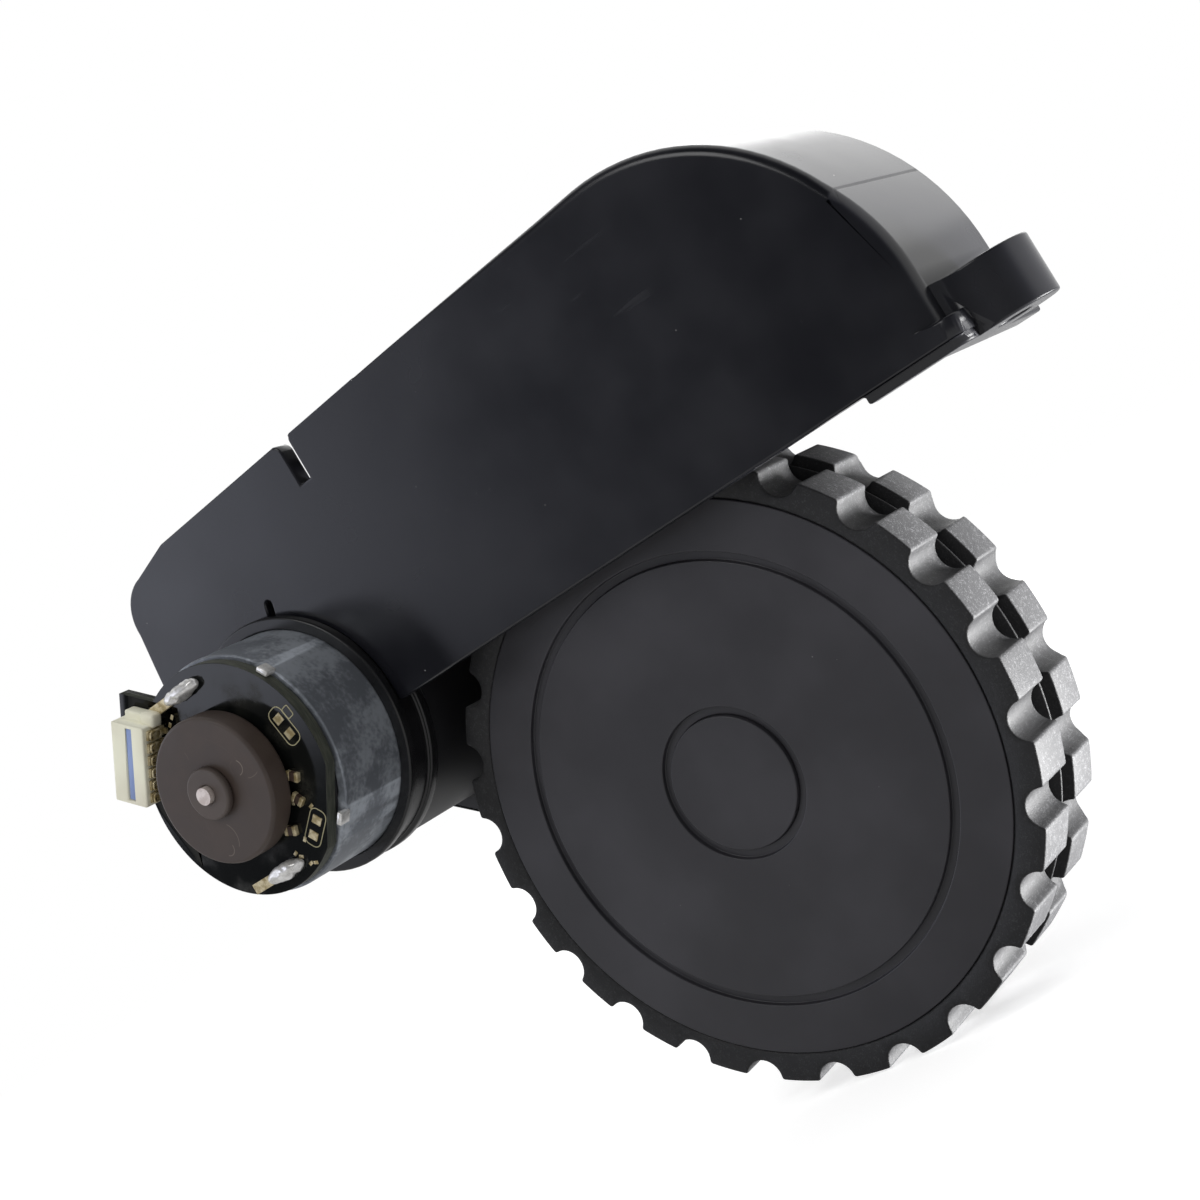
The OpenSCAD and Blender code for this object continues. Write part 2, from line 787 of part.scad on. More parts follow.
module connector_housing() {
    color([0.88, 0.85, 0.76]) place() at_connector() difference() {
        union() {
            block([housing_in, board_front - 3.2, housing_low],
                [housing_out, board_front, housing_high]);
            // small lug at the upper end
            block([11.8, board_front - 1.6, housing_low - 1], [14.6, board_front, housing_low + 0.5]);
        }
        // mouth that takes the plug
        block([housing_in + 1.2, board_front - 2.5, housing_low + 0.7],
            [housing_out + 1, board_front - 0.8, housing_high - 0.7]);
        // long window in the front face
        block([12.2, board_front - 4, -4.6], [13.2, board_front - 2, 4.2]);
        for (i = [0 : contact_count - 1])
            block([housing_in - 1, board_front - 1.9, contact_at(i) - 0.25],
                [housing_in + 2, board_front - 1.4, contact_at(i) + 0.25]);
    }
}

function contact_at(i) = -0.2 + (i - (contact_count - 1) / 2) * contact_pitch;

module connector_contacts() {
    color([0.8, 0.66, 0.32]) place() at_connector() for (i = [0 : contact_count - 1]) {
        block([housing_in - 0.3, board_front - 1.9, contact_at(i) - 0.25],
            [14.2, board_front - 1.4, contact_at(i) + 0.25]);
        block([housing_in - 0.3, board_front - 2.6, contact_at(i) - 0.55],
            [housing_in, board_front, contact_at(i) + 0.55]);
        block([housing_in - 0.9, board_front - 0.3, contact_at(i) - 0.3],
            [housing_in - 0.2, board_front, contact_at(i) + 0.3]);
        translate([housing_in - 0.6, board_front - 1.65, contact_at(i)]) rotate([0, 90, 0])
            cylinder(r = 0.42, h = 0.4, $fn = 24);
    }
}

// Gear train

module first_gear() {
    color([0.9, 0.9, 0.87]) place() arm() translate([s1, 0, 0]) difference() {
        union() {
            slab(plane_a, plane_a + gear_width)
                gear_shape(first_teeth, mod_a, 180 + 180 / first_teeth);
            slab(plane_a + gear_width - 0.5, plane_b + gear_width + 0.1)
                gear_shape(small_teeth, mod_b);
            rod(2.4, plane_a - 0.4, plane_a + 0.5);
        }
        rod(1 + run_gap, plane_a - 1, plane_b + gear_width + 1);
    }
}

module second_gear() {
    color([0.9, 0.9, 0.87]) place() arm() translate([s2, 0, 0]) difference() {
        union() {
            slab(plane_b, plane_b + gear_width)
                gear_shape(second_teeth, mod_b, 180 + 180 / second_teeth);
            slab(plane_a - 0.1, plane_b + 0.5) gear_shape(small_teeth, mod_c);
            rod(2.4, plane_a - 0.4, plane_a + 0.5);
            rod(2.4, plane_b + gear_width - 0.5, cover_y - 0.3);
        }
        rod(1 + run_gap, plane_a - 1, plane_b + gear_width + 1);
    }
}

module output_gear() {
    color([0.88, 0.88, 0.85]) place() arm() translate([s3, 0, 0]) difference() {
        union() {
            slab(plane_a, plane_a + gear_width)
                gear_shape(output_teeth, mod_c, 180 + 180 / output_teeth);
            rod(6, plane_a + gear_width - 0.5, plane_b + 2.2);
            rod(6, plane_a - 0.4, plane_a + 0.5);
        }
        slab(plane_a - 1, plane_b + 4) flat_round(axle_r, axle_flat);
        // web thinned from both sides
        sleeve(web_r, web_hole, plane_a - 1, plane_a + 0.9);
        sleeve(web_r, web_hole, plane_a + gear_width - 0.9, plane_a + gear_width + 1);
    }
}

// Wheel

module wheel_axle() {
    color([0.76, 0.76, 0.78]) place() arm() translate([s3, 0, 0]) difference() {
        rod(axle_r, axle_front, cover_back + 0.6);
        // flats for the wheel and for the gear
        block([axle_flat, axle_front - 1, -4], [4, hub_back, 4]);
        block([axle_flat, plane_a - 0.4, -4], [4, plane_b + 2.2, 4]);
        sleeve(4, 2.4, plane_b + 2.2, plane_b + 2.8);
        rod(1.5, axle_front - 1, axle_front + 7);
    }
}

module axle_clip() {
    color([0.5, 0.5, 0.52]) place() arm() translate([s3, 0, 0]) difference() {
        rod(4.6, plane_b + 2.2, plane_b + 2.8);
        rod(2.4, plane_b + 2, plane_b + 3);
        block([-5, plane_b + 2, -1.9], [0, plane_b + 3, 1.9]);
    }
}

module thrust_washer() {
    color([0.75, 0.75, 0.77]) place() at_wheel()
        sleeve(5.5, axle_r, hub_back, hub_back + washer_thickness);
}

module wheel_rim() {
    color([0.2, 0.2, 0.205]) place() arm() translate([s3, 0, 0]) difference() {
        union() {
            rod(seam_r, face_y, face_y + 2.4);
            difference() {
                rod(seam_r, face_y, tyre_back - 0.5);
                rod(seam_r - 2, face_y + 1, tyre_back);
            }
            rod(10, face_y + 2, axle_front + 1);
            rod(6.5, axle_front, hub_back);
            for (k = [0 : 5]) rotate([0, 60 * k, 0])
                block([5, face_y + 2, -0.7], [seam_r - 1, 13.8, 0.7]);
        }
        // ring grooves and the seat of the hub cap
        sleeve(face_groove_radius + 0.5, face_groove_radius - 0.5, face_y - 1,
            face_y + groove_depth);
        rod(cap_radius + 1, face_y - 1, face_y + groove_depth);
        rod(cap_radius, face_y - 1, face_y + 1.6);
        rod(3.4, face_y, axle_front - 1.2);
        rod(1.5, axle_front - 2, axle_front + 1);
        slab(axle_front, hub_back + 1) flat_round(axle_r, axle_flat);
    }
}

module hub_cap() {
    color([0.21, 0.21, 0.215]) place() at_wheel()
        rod(cap_radius, face_y, face_y + 1.6);
}

module axle_screw() {
    color([0.7, 0.7, 0.72]) place() at_wheel() difference() {
        union() {
            rod(2.8, axle_front - 3.2, axle_front - 1.2);
            rod(1.5, axle_front - 1.5, axle_front + 6.5);
        }
        block([-1.9, axle_front - 4, -0.35], [1.9, axle_front - 2.3, 0.35]);
        block([-0.35, axle_front - 4, -1.9], [0.35, axle_front - 2.3, 1.9]);
    }
}

channel_front = face_y + 6.94;
channel_back = channel_front + 1.8;
channel_r = wheel_r - 2.5;
scallop_centre = wheel_r + 0.1;

// One row of lugs: a disc with round scallops cut in its edge
module row_shape(phase) {
    difference() {
        circle(wheel_r, $fn = 144);
        for (k = [0 : lug_count - 1])
            translate(turn(scallop_centre, phase + 360 * k / lug_count))
                circle(scallop_radius, $fn = 32);
        circle(seam_r);
    }
}

module tyre() {
    color([0.09, 0.09, 0.09]) place() at_wheel() difference() {
        union() {
            slab(face_y, channel_front) row_shape(scallop_phase);
            slab(channel_back, tyre_back) row_shape(scallop_phase + 180 / lug_count);
            slab(channel_front - 0.1, channel_back + 0.1) difference() {
                circle(channel_r);
                circle(seam_r);
            }
            slab(face_y + 7.84 - fin_thickness / 2, face_y + 7.84 + fin_thickness / 2)
                difference() {
                    circle(wheel_r - 1);
                    circle(seam_r);
                }
        }
        // rear shoulder bevel and the fine line beside the rim
        rotate([-90, 0, 0]) rotate_extrude() polygon([[wheel_r - 1.2, tyre_back + 0.01],
            [wheel_r + 1, tyre_back + 0.01], [wheel_r + 1, tyre_back - 2.2]]);
        rotate([-90, 0, 0]) rotate_extrude() polygon([[seam_r - 1, face_y - 0.5],
            [seam_r + 0.3, face_y - 0.5], [seam_r + 0.3, face_y], [seam_r - 0.1, face_y + 0.4],
            [seam_r - 1, face_y + 0.4]]);
    }
}

shroud();
inner_bracket();
bracket_screws();
suspension_spring();
gearbox_case();
gearbox_cover();
cover_screws();
motor_can();
motor_end_cap();
motor_bushes();
motor_screws();
stator_magnets();
motor_brushes();
gear_pins();
axle_bushes();
circuit_board();
motor_terminals();
solder_joints();
board_chips();
board_pads();
connector_housing();
connector_contacts();
motor_shaft();
armature_core();
armature_windings();
commutator();
motor_pinion();
encoder_magnet();
encoder_hub();
first_gear();
second_gear();
output_gear();
wheel_axle();
axle_clip();
thrust_washer();
wheel_rim();
tyre();
hub_cap();
axle_screw();
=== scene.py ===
"""Looks of a robot vacuum's drive wheel module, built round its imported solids.

Sizes are millimetres until a mesh is finished, and metres in the scene. X runs along the shroud to its
screw ear, Y from the open face of the wheel to the gear case, and Z up.
"""

import logging
from dataclasses import dataclass, field
from enum import Enum
from math import acos, atan2, cos, hypot, pi, radians, sin, tau
from typing import Any, Callable, ClassVar, Iterable, Sequence

import bmesh
import bpy
from mathutils import Matrix, Vector, noise


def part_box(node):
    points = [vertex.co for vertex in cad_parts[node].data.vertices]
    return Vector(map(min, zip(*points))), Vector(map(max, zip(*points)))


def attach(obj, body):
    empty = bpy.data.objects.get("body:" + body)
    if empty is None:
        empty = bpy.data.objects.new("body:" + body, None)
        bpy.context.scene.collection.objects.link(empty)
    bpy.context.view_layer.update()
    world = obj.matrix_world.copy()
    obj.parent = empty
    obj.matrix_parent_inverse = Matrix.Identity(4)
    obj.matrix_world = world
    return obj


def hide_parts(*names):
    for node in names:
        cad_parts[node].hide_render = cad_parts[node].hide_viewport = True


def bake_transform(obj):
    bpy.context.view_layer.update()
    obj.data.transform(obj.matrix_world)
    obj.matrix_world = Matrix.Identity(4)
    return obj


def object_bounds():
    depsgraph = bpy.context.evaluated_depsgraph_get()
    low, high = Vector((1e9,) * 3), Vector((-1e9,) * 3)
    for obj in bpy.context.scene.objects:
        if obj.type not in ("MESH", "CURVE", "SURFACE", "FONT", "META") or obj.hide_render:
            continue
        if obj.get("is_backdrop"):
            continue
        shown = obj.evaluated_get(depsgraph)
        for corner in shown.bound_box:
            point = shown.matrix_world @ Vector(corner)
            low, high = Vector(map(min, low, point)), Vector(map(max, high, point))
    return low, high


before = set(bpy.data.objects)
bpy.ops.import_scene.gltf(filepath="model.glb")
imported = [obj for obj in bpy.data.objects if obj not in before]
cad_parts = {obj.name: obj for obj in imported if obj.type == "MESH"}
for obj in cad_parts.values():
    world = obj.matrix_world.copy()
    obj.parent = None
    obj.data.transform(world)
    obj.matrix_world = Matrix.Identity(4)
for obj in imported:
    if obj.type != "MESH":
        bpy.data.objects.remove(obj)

log = logging.getLogger("drive_wheel")

MM = 0.001
Point = tuple[float, float, float]
Colour = tuple[float, float, float]


class Body(Enum):
    """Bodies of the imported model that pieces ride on."""

    BASE = "base"
    ARM = "arm"
    ROTOR = "rotor"
    WHEEL = "wheel"


class Sock:
    """A node socket that takes part in sums, so that masks read as formulas."""

    def __init__(self, graph: "Graph", socket: bpy.types.NodeSocket) -> None:
        """Keep the socket and the graph that it belongs to.

        Args:
            graph: Graph that new nodes are added to.
            socket: Output socket that this value stands for.
        """
        self.graph = graph
        self.socket = socket

    def _math(self, operation: str, *values: "Sock | float") -> "Sock":
        """Add one Math node.

        Args:
            operation: Name of the node's operation.
            values: Links or numbers of its inputs, in order.

        Returns:
            The result as a value.
        """
        return self.graph.value("ShaderNodeMath", {"operation": operation}, dict(enumerate(values)))

    def __add__(self, other: "Sock | float") -> "Sock":
        """Sum."""
        return self._math("ADD", self, other)

    def __radd__(self, other: float) -> "Sock":
        """Sum with a number on the left."""
        return self._math("ADD", other, self)

    def __sub__(self, other: "Sock | float") -> "Sock":
        """Difference."""
        return self._math("SUBTRACT", self, other)

    def __rsub__(self, other: float) -> "Sock":
        """Difference from a number on the left."""
        return self._math("SUBTRACT", other, self)

    def __mul__(self, other: "Sock | float") -> "Sock":
        """Product."""
        return self._math("MULTIPLY", self, other)

    def __rmul__(self, other: float) -> "Sock":
        """Product with a number on the left."""
        return self._math("MULTIPLY", other, self)

    def __truediv__(self, other: "Sock | float") -> "Sock":
        """Quotient."""
        return self._math("DIVIDE", self, other)

    def __rtruediv__(self, other: float) -> "Sock":
        """Quotient of a number on the left."""
        return self._math("DIVIDE", other, self)

    def __abs__(self) -> "Sock":
        """Size without its sign."""
        return self._math("ABSOLUTE", self)

    def most(self, other: "Sock | float") -> "Sock":
        """Larger of two values."""
        return self._math("MAXIMUM", self, other)

    def root(self) -> "Sock":
        """Square root."""
        return self._math("SQRT", self)

    def between(self, low: float, high: float) -> "Sock":
        """Smooth step from 0 at low to 1 at high, or falling where high is the lower.

        Args:
            low: Value that gives 0.
            high: Value that gives 1.

        Returns:
            The mask.
        """
        first, last = (low, high) if low < high else (high, low)
        step = self.graph.value("ShaderNodeMapRange", {"interpolation_type": "SMOOTHSTEP"},
                                {0: self, 1: first, 2: last, 3: 0.0, 4: 1.0})
        return step if low < high else 1 - step


class Graph:
    """Adds nodes to a shader or geometry tree."""

    def __init__(self, tree: bpy.types.NodeTree) -> None:
        """Keep the tree.

        Args:
            tree: Node tree that is filled.
        """
        self.tree = tree

    def node(self, kind: str, settings: dict[str, Any] | None = None,
             inputs: dict[int | str, Any] | None = None) -> bpy.types.Node:
        """Add a node.

        Args:
            kind: Blender's name of the node's type.
            settings: Properties that are set first, with a ramp's stops under "stops".
            inputs: Values or links of its sockets, by name or number.

        Returns:
            The new node.
        """
        node = self.tree.nodes.new(kind)
        for name, value in (settings or {}).items():
            if name == "stops":
                self._stops(node, value)
            else:
                setattr(node, name, value)
        for key, value in (inputs or {}).items():
            target = node.inputs[key]
            if isinstance(value, Sock):
                self.tree.links.new(value.socket, target)
            else:
                target.default_value = value
        return node

    @staticmethod
    def _stops(node: bpy.types.Node, stops: Sequence[tuple[float, Colour]]) -> None:
        """Fill a colour ramp.

        Args:
            node: Colour ramp node.
            stops: Place and colour of each stop.
        """
        elements = node.color_ramp.elements
        while len(elements) < len(stops):
            elements.new(0.5)
        for element, (place, colour) in zip(elements, stops):
            element.position = place
            element.color = (*colour, 1.0)

    def value(self, kind: str, settings: dict[str, Any] | None = None,
              inputs: dict[int | str, Any] | None = None, output: int | str = 0) -> Sock:
        """Add a node and take one of its outputs.

        Args:
            kind: Blender's name of the node's type.
            settings: Properties that are set first.
            inputs: Values or links of its sockets.
            output: Output that is taken.

        Returns:
            The output as a value.
        """
        return Sock(self, self.node(kind, settings, inputs).outputs[output])

    def axes(self, vector: Sock) -> tuple[Sock, ...]:
        """X, Y and Z of a vector."""
        parts = self.node("ShaderNodeSeparateXYZ", None, {0: vector})
        return tuple(Sock(self, output) for output in parts.outputs)

    def blend(self, mask: Sock | float, first: Sock | Colour, second: Sock | Colour) -> Sock:
        """Mix two colours.

        Args:
            mask: 0 for the first and 1 for the second.
            first: First colour.
            second: Second colour.

        Returns:
            The mixed colour.
        """
        ends = [c if isinstance(c, Sock) else (*c, 1.0) for c in (first, second)]
        return self.value("ShaderNodeMix", {"data_type": "RGBA"}, {0: mask, 6: ends[0], 7: ends[1]}, 2)


class Shader(Graph):
    """A material's tree with the patterns that the finishes share."""

    def __init__(self, name: str) -> None:
        """Start a material with an empty tree.

        Args:
            name: Name of the material.
        """
        self.material = bpy.data.materials.new(name)
        self.material.use_nodes = True
        super().__init__(self.material.node_tree)
        self.tree.nodes.clear()
        self.place = self.value("ShaderNodeTexCoord", output="Object")

    def mapped(self, centre: Point = (0, 0, 0), scale: Point = (1, 1, 1)) -> Sock:
        """Object coordinates moved and stretched.

        Args:
            centre: Point in metres that becomes the origin.
            scale: Stretch along each axis.

        Returns:
            The coordinates.
        """
        moved = self.value("ShaderNodeVectorMath", {"operation": "SUBTRACT"}, {0: self.place, 1: centre})
        return self.value("ShaderNodeVectorMath", {"operation": "MULTIPLY"}, {0: moved, 1: scale})

    def noise(self, size: float, detail: float = 2.0, place: Sock | None = None) -> Sock:
        """Soft noise from 0 to 1.

        Args:
            size: Size of its largest blots in millimetres.
            detail: Number of finer layers.
            place: Coordinates, or None for the object's own.

        Returns:
            The noise.
        """
        inputs = {"Vector": place or self.place, "Scale": 1 / (size * MM), "Detail": detail}
        return self.value("ShaderNodeTexNoise", None, inputs)

    def stored(self, name: str) -> Sock:
        """Number stored in the mesh under a name."""
        return self.value("ShaderNodeAttribute", {"attribute_name": name}, None, "Fac")

    def specks(self, spacing: float, radius: float) -> Sock:
        """Small round specks, one in most cells.

        Args:
            spacing: Distance between neighbouring specks in millimetres.
            radius: Radius of the largest speck in millimetres.

        Returns:
            A mask that is 1 in the specks.
        """
        cell = self.node("ShaderNodeTexVoronoi", None, {"Vector": self.place, "Scale": 1 / (spacing * MM)})
        distance, tint = Sock(self, cell.outputs["Distance"]), Sock(self, cell.outputs["Color"])
        chance = self.value("ShaderNodeSeparateColor", None, {0: tint})
        reach = radius / spacing
        return (distance + chance * reach).between(reach, reach * 0.6)

    def scratches(self, along: Point, size: float = 6.0) -> Sock:
        """Fine straight scratches.

        Args:
            along: Stretch of the pattern along each axis, least along the scratches.
            size: Length scale in millimetres.

        Returns:
            A mask that is 1 in the scratches.
        """
        streaks = self.noise(size, 3.0, self.mapped(scale=along))
        return streaks.between(0.68, 0.74)

    def bump(self, height: Sock, depth: float) -> Sock:
        """Normal that follows a height.

        Args:
            height: Height from 0 to 1.
            depth: Depth of the full height in millimetres.

        Returns:
            The normal.
        """
        inputs = {"Height": height, "Strength": 1.0, "Distance": depth * MM}
        return self.value("ShaderNodeBump", None, inputs)

    def finish(self, colour: Sock | Colour, roughness: Sock | float, normal: Sock | None = None,
               constants: dict[str, Any] | None = None) -> bpy.types.Material:
        """Close the tree with the surface shader.

        Args:
            colour: Base colour.
            roughness: Roughness.
            normal: Normal, or None for the mesh's own.
            constants: Values set on the shader's own sockets.

        Returns:
            The finished material.
        """
        inputs: dict[int | str, Any] = {"Roughness": roughness, **(constants or {})}
        inputs["Base Color"] = colour if isinstance(colour, Sock) else (*colour, 1.0)
        if normal is not None:
            inputs["Normal"] = normal
        surface = self.value("ShaderNodeBsdfPrincipled", None, inputs)
        self.node("ShaderNodeOutputMaterial", None, {"Surface": surface})
        return self.material


@dataclass(frozen=True)
class Moulding:
    """Moulded plastic with a fine texture, handling marks and dust.

    Attributes:
        name: Name of the material.
        colour: Colour of the clean plastic.
        roughness: Mean roughness.
        grain: Size of the surface texture in millimetres.
        depth: Depth of the texture in millimetres.
        dust: Share of dust specks that shows, from 0 to 1.
        film: Strength of the thin dusty film.
        seam: X of the mould line across the rim in millimetres, or None for no line.
        seam_from: Y and Z above which the mould line shows.
        DUST: Colour of dust and of light scratches.
    """

    name: str
    colour: Colour
    roughness: float
    grain: float = 0.25
    depth: float = 0.004
    dust: float = 0.5
    film: float = 0.05
    seam: float | None = None
    seam_from: tuple[float, float] = (-7.2, 9.0)
    DUST: ClassVar[Colour] = (0.5, 0.49, 0.47)

    def make(self) -> bpy.types.Material:
        """Build the material.

        Returns:
            The material.
        """
        shader = Shader(self.name)
        clouds = shader.noise(13, 3)
        grain = shader.noise(self.grain, 2)
        specks = shader.specks(1.7, 0.1) * shader.noise(9, 1).between(0.5, 0.62) * self.dust
        film = clouds.between(0.42, 0.72) * self.film
        marks = shader.scratches((0.25, 1, 3.2)) * shader.noise(20, 1).between(0.5, 0.6)
        tint = tuple(min(1.0, c * 1.5 + 0.004) for c in self.colour)
        colour = shader.blend(clouds.between(0.3, 0.75), self.colour, tint)
        dusty = (film + specks + marks * 0.04 * self.dust).between(0, 1)
        colour = shader.blend(dusty, colour, self.DUST)
        roughness = self.roughness + (clouds - 0.5) * 0.22 + specks * 0.3 + marks * 0.1
        if self.seam is not None:
            line = self.mould_line(shader)
            roughness = roughness + line * 0.2
            grain = grain - line * 6
        return shader.finish(colour, roughness, shader.bump(grain, self.depth), {"IOR": 1.5})

    def mould_line(self, shader: Shader) -> Sock:
        """Mask of the mould line.

        Args:
            shader: The material's tree.

        Returns:
            A mask that is 1 on the line.
        """
        x, y, z = shader.axes(shader.mapped())
        start_y, start_z = self.seam_from
        line = abs(x / MM - self.seam).between(0.12, 0.03)
        return line * (y / MM).between(start_y, start_y + 0.4) * (z / MM).between(start_z, start_z + 1)


@dataclass(frozen=True)
class Metal:
    """Bare or plated metal with clouds, rolling lines and tarnish.

    Attributes:
        name: Name of the material.
        colour: Colour of the bright metal.
        dull: Colour of the tarnished metal.
        roughness: Mean roughness.
        clouds: Size of the cloudy patches in millimetres.
        lines: Stretch of the rolling lines along each axis.
        line_depth: Depth of the rolling lines in millimetres.
        bare: Share of bare metal, the rest being a dull coat.
    """

    name: str
    colour: Colour
    dull: Colour
    roughness: float
    clouds: float = 4.0
    lines: Point = (0.1, 0.1, 0.1)
    line_depth: float = 0.001
    bare: float = 1.0

    def make(self) -> bpy.types.Material:
        """Build the material.

        Returns:
            The material.
        """
        shader = Shader(self.name)
        patches = shader.noise(self.clouds, 4)
        fine = shader.noise(self.clouds / 9, 3)
        lines = shader.noise(0.5, 2, shader.mapped(scale=self.lines))
        worn = (patches * 0.7 + fine * 0.3).between(0.4, 0.62)
        colour = shader.blend(worn, self.dull, self.colour)
        roughness = self.roughness + (0.5 - patches) * 0.3 + (fine - 0.5) * 0.16
        return shader.finish(colour, roughness, shader.bump(lines, self.line_depth), {"Metallic": self.bare})


@dataclass(frozen=True)
class TreadRubber:
    """Black rubber with a speckled skin, paler where the mesh stores wear.

    Attributes:
        name: Name of the material.
        colour: Colour of the rubber.
        bloom: Colour of the pale specks on its skin.
        worn: Colour of the worn tread.
        grit: Colour of the specks on the worn tread.
        roughness: Mean roughness.
    """

    name: str = "tread_rubber"
    colour: Colour = (0.011, 0.011, 0.012)
    bloom: Colour = (0.045, 0.045, 0.048)
    worn: Colour = (0.062, 0.062, 0.065)
    grit: Colour = (0.3, 0.3, 0.31)
    roughness: float = 0.6

    def make(self) -> bpy.types.Material:
        """Build the material.

        Returns:
            The material.
        """
        shader = Shader(self.name)
        fine = shader.noise(0.17, 3)
        skin = fine * 0.7 + shader.noise(0.6, 2) * 0.3
        clouds = shader.noise(8, 2)
        wear = shader.stored(Tyre.WEAR)
        colour = shader.blend(wear * (0.6 + clouds * 0.8), self.colour, self.worn)
        speck = shader.blend(wear, self.bloom, self.grit)
        colour = shader.blend(skin.between(0.5, 0.66) * (0.2 + clouds * 0.7), colour, speck)
        roughness = self.roughness + (fine - 0.5) * 0.35 + (clouds - 0.5) * 0.1
        return shader.finish(colour, roughness, shader.bump(skin, 0.06), {"IOR": 1.45})


@dataclass(frozen=True)
class BoardLacquer:
    """Lacquer of the circuit board, smooth, with the weave just showing.

    Attributes:
        name: Name of the material.
        colour: Colour of the lacquer.
        flux: Colour of dried flux on it.
    """

    name: str = "board_lacquer"
    colour: Colour = (0.004, 0.0046, 0.0044)
    flux: Colour = (0.2, 0.19, 0.15)

    def make(self) -> bpy.types.Material:
        """Build the material.

        Returns:
            The material.
        """
        shader = Shader(self.name)
        weave = shader.noise(0.7, 1, shader.mapped(scale=(1, 1, 0.3)))
        clouds = shader.noise(5, 2)
        dried = clouds.between(0.52, 0.7) * shader.noise(0.5, 2)
        colour = shader.blend(dried * 0.12, self.colour, self.flux)
        roughness = 0.09 + dried * 0.25 + (clouds - 0.5) * 0.06
        return shader.finish(colour, roughness, shader.bump(weave, 0.002), {"IOR": 1.4})


@dataclass(frozen=True)
class BoardCore:
    """Sawn edge of the board's glass fibre core.

    Attributes:
        name: Name of the material.
        colour: Colour of the resin.
        glass: Colour of the glass layers.
    """

    name: str = "board_core"
    colour: Colour = (0.075, 0.08, 0.06)
    glass: Colour = (0.04, 0.044, 0.034)

    def make(self) -> bpy.types.Material:
        """Build the material.

        Returns:
            The material.
        """
        shader = Shader(self.name)
        layers = shader.noise(0.3, 2, shader.mapped(scale=(0.15, 1.6, 0.15)))
        chips = shader.noise(0.4, 2)
        colour = shader.blend(layers.between(0.35, 0.65), self.colour, self.glass)
        return shader.finish(colour, 0.5 + chips * 0.3, shader.bump(chips, 0.02))


@dataclass(frozen=True)
class Scratch:
    """A scratch that follows part of a circle.

    Attributes:
        centre: Centre of the circle in X and Z from the magnet's middle, in millimetres.
        radius: Radius of the circle in millimetres.
        heading: Direction of the scratch's middle from that centre in degrees.
        spread: Angle covered on each side of the middle in degrees.
        strength: How pale the scratch is, from 0 to 1.
    """

    centre: tuple[float, float]
    radius: float
    heading: float
    spread: float
    strength: float

    def mask(self, across: Sock, up: Sock) -> Sock:
        """Mask of the scratch.

        Args:
            across: Place along X in millimetres.
            up: Place along Z in millimetres.

        Returns:
            A mask that is 1 along the scratch.
        """
        x, z = across - self.centre[0], up - self.centre[1]
        radius = (x * x + z * z).root()
        aside = (x * cos(radians(self.heading)) + z * sin(radians(self.heading))) / radius
        limit = cos(radians(self.spread))
        line = abs(radius - self.radius).between(0.1, 0.02)
        return line * aside.between(limit - 0.04, limit + 0.04) * self.strength


@dataclass(frozen=True)
class ScuffedMagnet:
    """Brown bonded magnet with a few scratches on its face.

    Attributes:
        centre: Middle of the disc's face in metres.
        name: Name of the material.
        colour: Colour of the disc.
        mottle: Colour of its paler patches.
        scuff: Colour of the scratches.
        scratches: Scratches on the face.
    """

    centre: Point
    name: str = "scuffed_magnet"
    colour: Colour = (0.049, 0.034, 0.027)
    mottle: Colour = (0.063, 0.045, 0.037)
    scuff: Colour = (0.24, 0.2, 0.17)
    scratches: tuple[Scratch, ...] = (
        Scratch((5.0, 0.75), 0.85, -20, 75, 0.8), Scratch((5.0, 0.75), 0.9, 150, 60, 0.25),
        Scratch((6.6, 1.2), 2.2, -90, 24, 0.5), Scratch((-2.2, -5.2), 2.0, 0, 45, 0.6),
        Scratch((-2.4, -6.2), 0.8, -60, 70, 0.7), Scratch((-2.2, 4.9), 1.5, 0, 20, 0.35),
        Scratch((-1.5, -0.5), 7.4, 32, 26, 0.18), Scratch((0.4, 0.2), 6.3, -150, 22, 0.15))

    def make(self) -> bpy.types.Material:
        """Build the material.

        Returns:
            The material.
        """
        shader = Shader(self.name)
        local = shader.mapped(self.centre, (1 / MM, 1 / MM, 1 / MM))
        across, _, up = shader.axes(local)
        pale: Sock | float = 0.0
        for scratch in self.scratches:
            pale = scratch.mask(across, up) + pale
        grit = shader.noise(0.3, 3)
        clouds = shader.noise(4, 3)
        fine = shader.scratches((2.4, 1, 0.5), 4.0) * 0.12
        colour = shader.blend(clouds.between(0.35, 0.7), self.colour, self.mottle)
        colour = shader.blend(((pale + fine) * 0.7).between(0, 1), colour, self.scuff)
        roughness = 0.5 + (clouds - 0.5) * 0.3 + pale * 0.1
        return shader.finish(colour, roughness, shader.bump(grit * 0.5, 0.01))


@dataclass(frozen=True)
class WoundWire:
    """Enamelled copper wire, seen as close parallel strands with painted shade between them.

    Attributes:
        name: Name of the material.
        colour: Colour of the enamel.
        groove_shade: Painted shade in the grooves between the strands.
        strand: Diameter of one strand in millimetres.
    """

    name: str = "wound_wire"
    colour: Colour = (0.42, 0.13, 0.05)
    groove_shade: Colour = (0.16, 0.05, 0.02)
    strand: float = 0.35

    def make(self) -> bpy.types.Material:
        """Build the material.

        Returns:
            The material.
        """
        shader = Shader(self.name)
        inputs = {"Vector": shader.place, "Scale": 1 / (self.strand * MM * pi), "Distortion": 0.6}
        strands = shader.value("ShaderNodeTexWave", {"bands_direction": "Z"}, inputs)
        # painted shade: the colour darkens between the strands, where the grooves lie in shade
        colour = shader.blend(strands, self.groove_shade, self.colour)
        return shader.finish(colour, 0.25 + strands * 0.15, shader.bump(strands, 0.08), {"Metallic": 0.8})


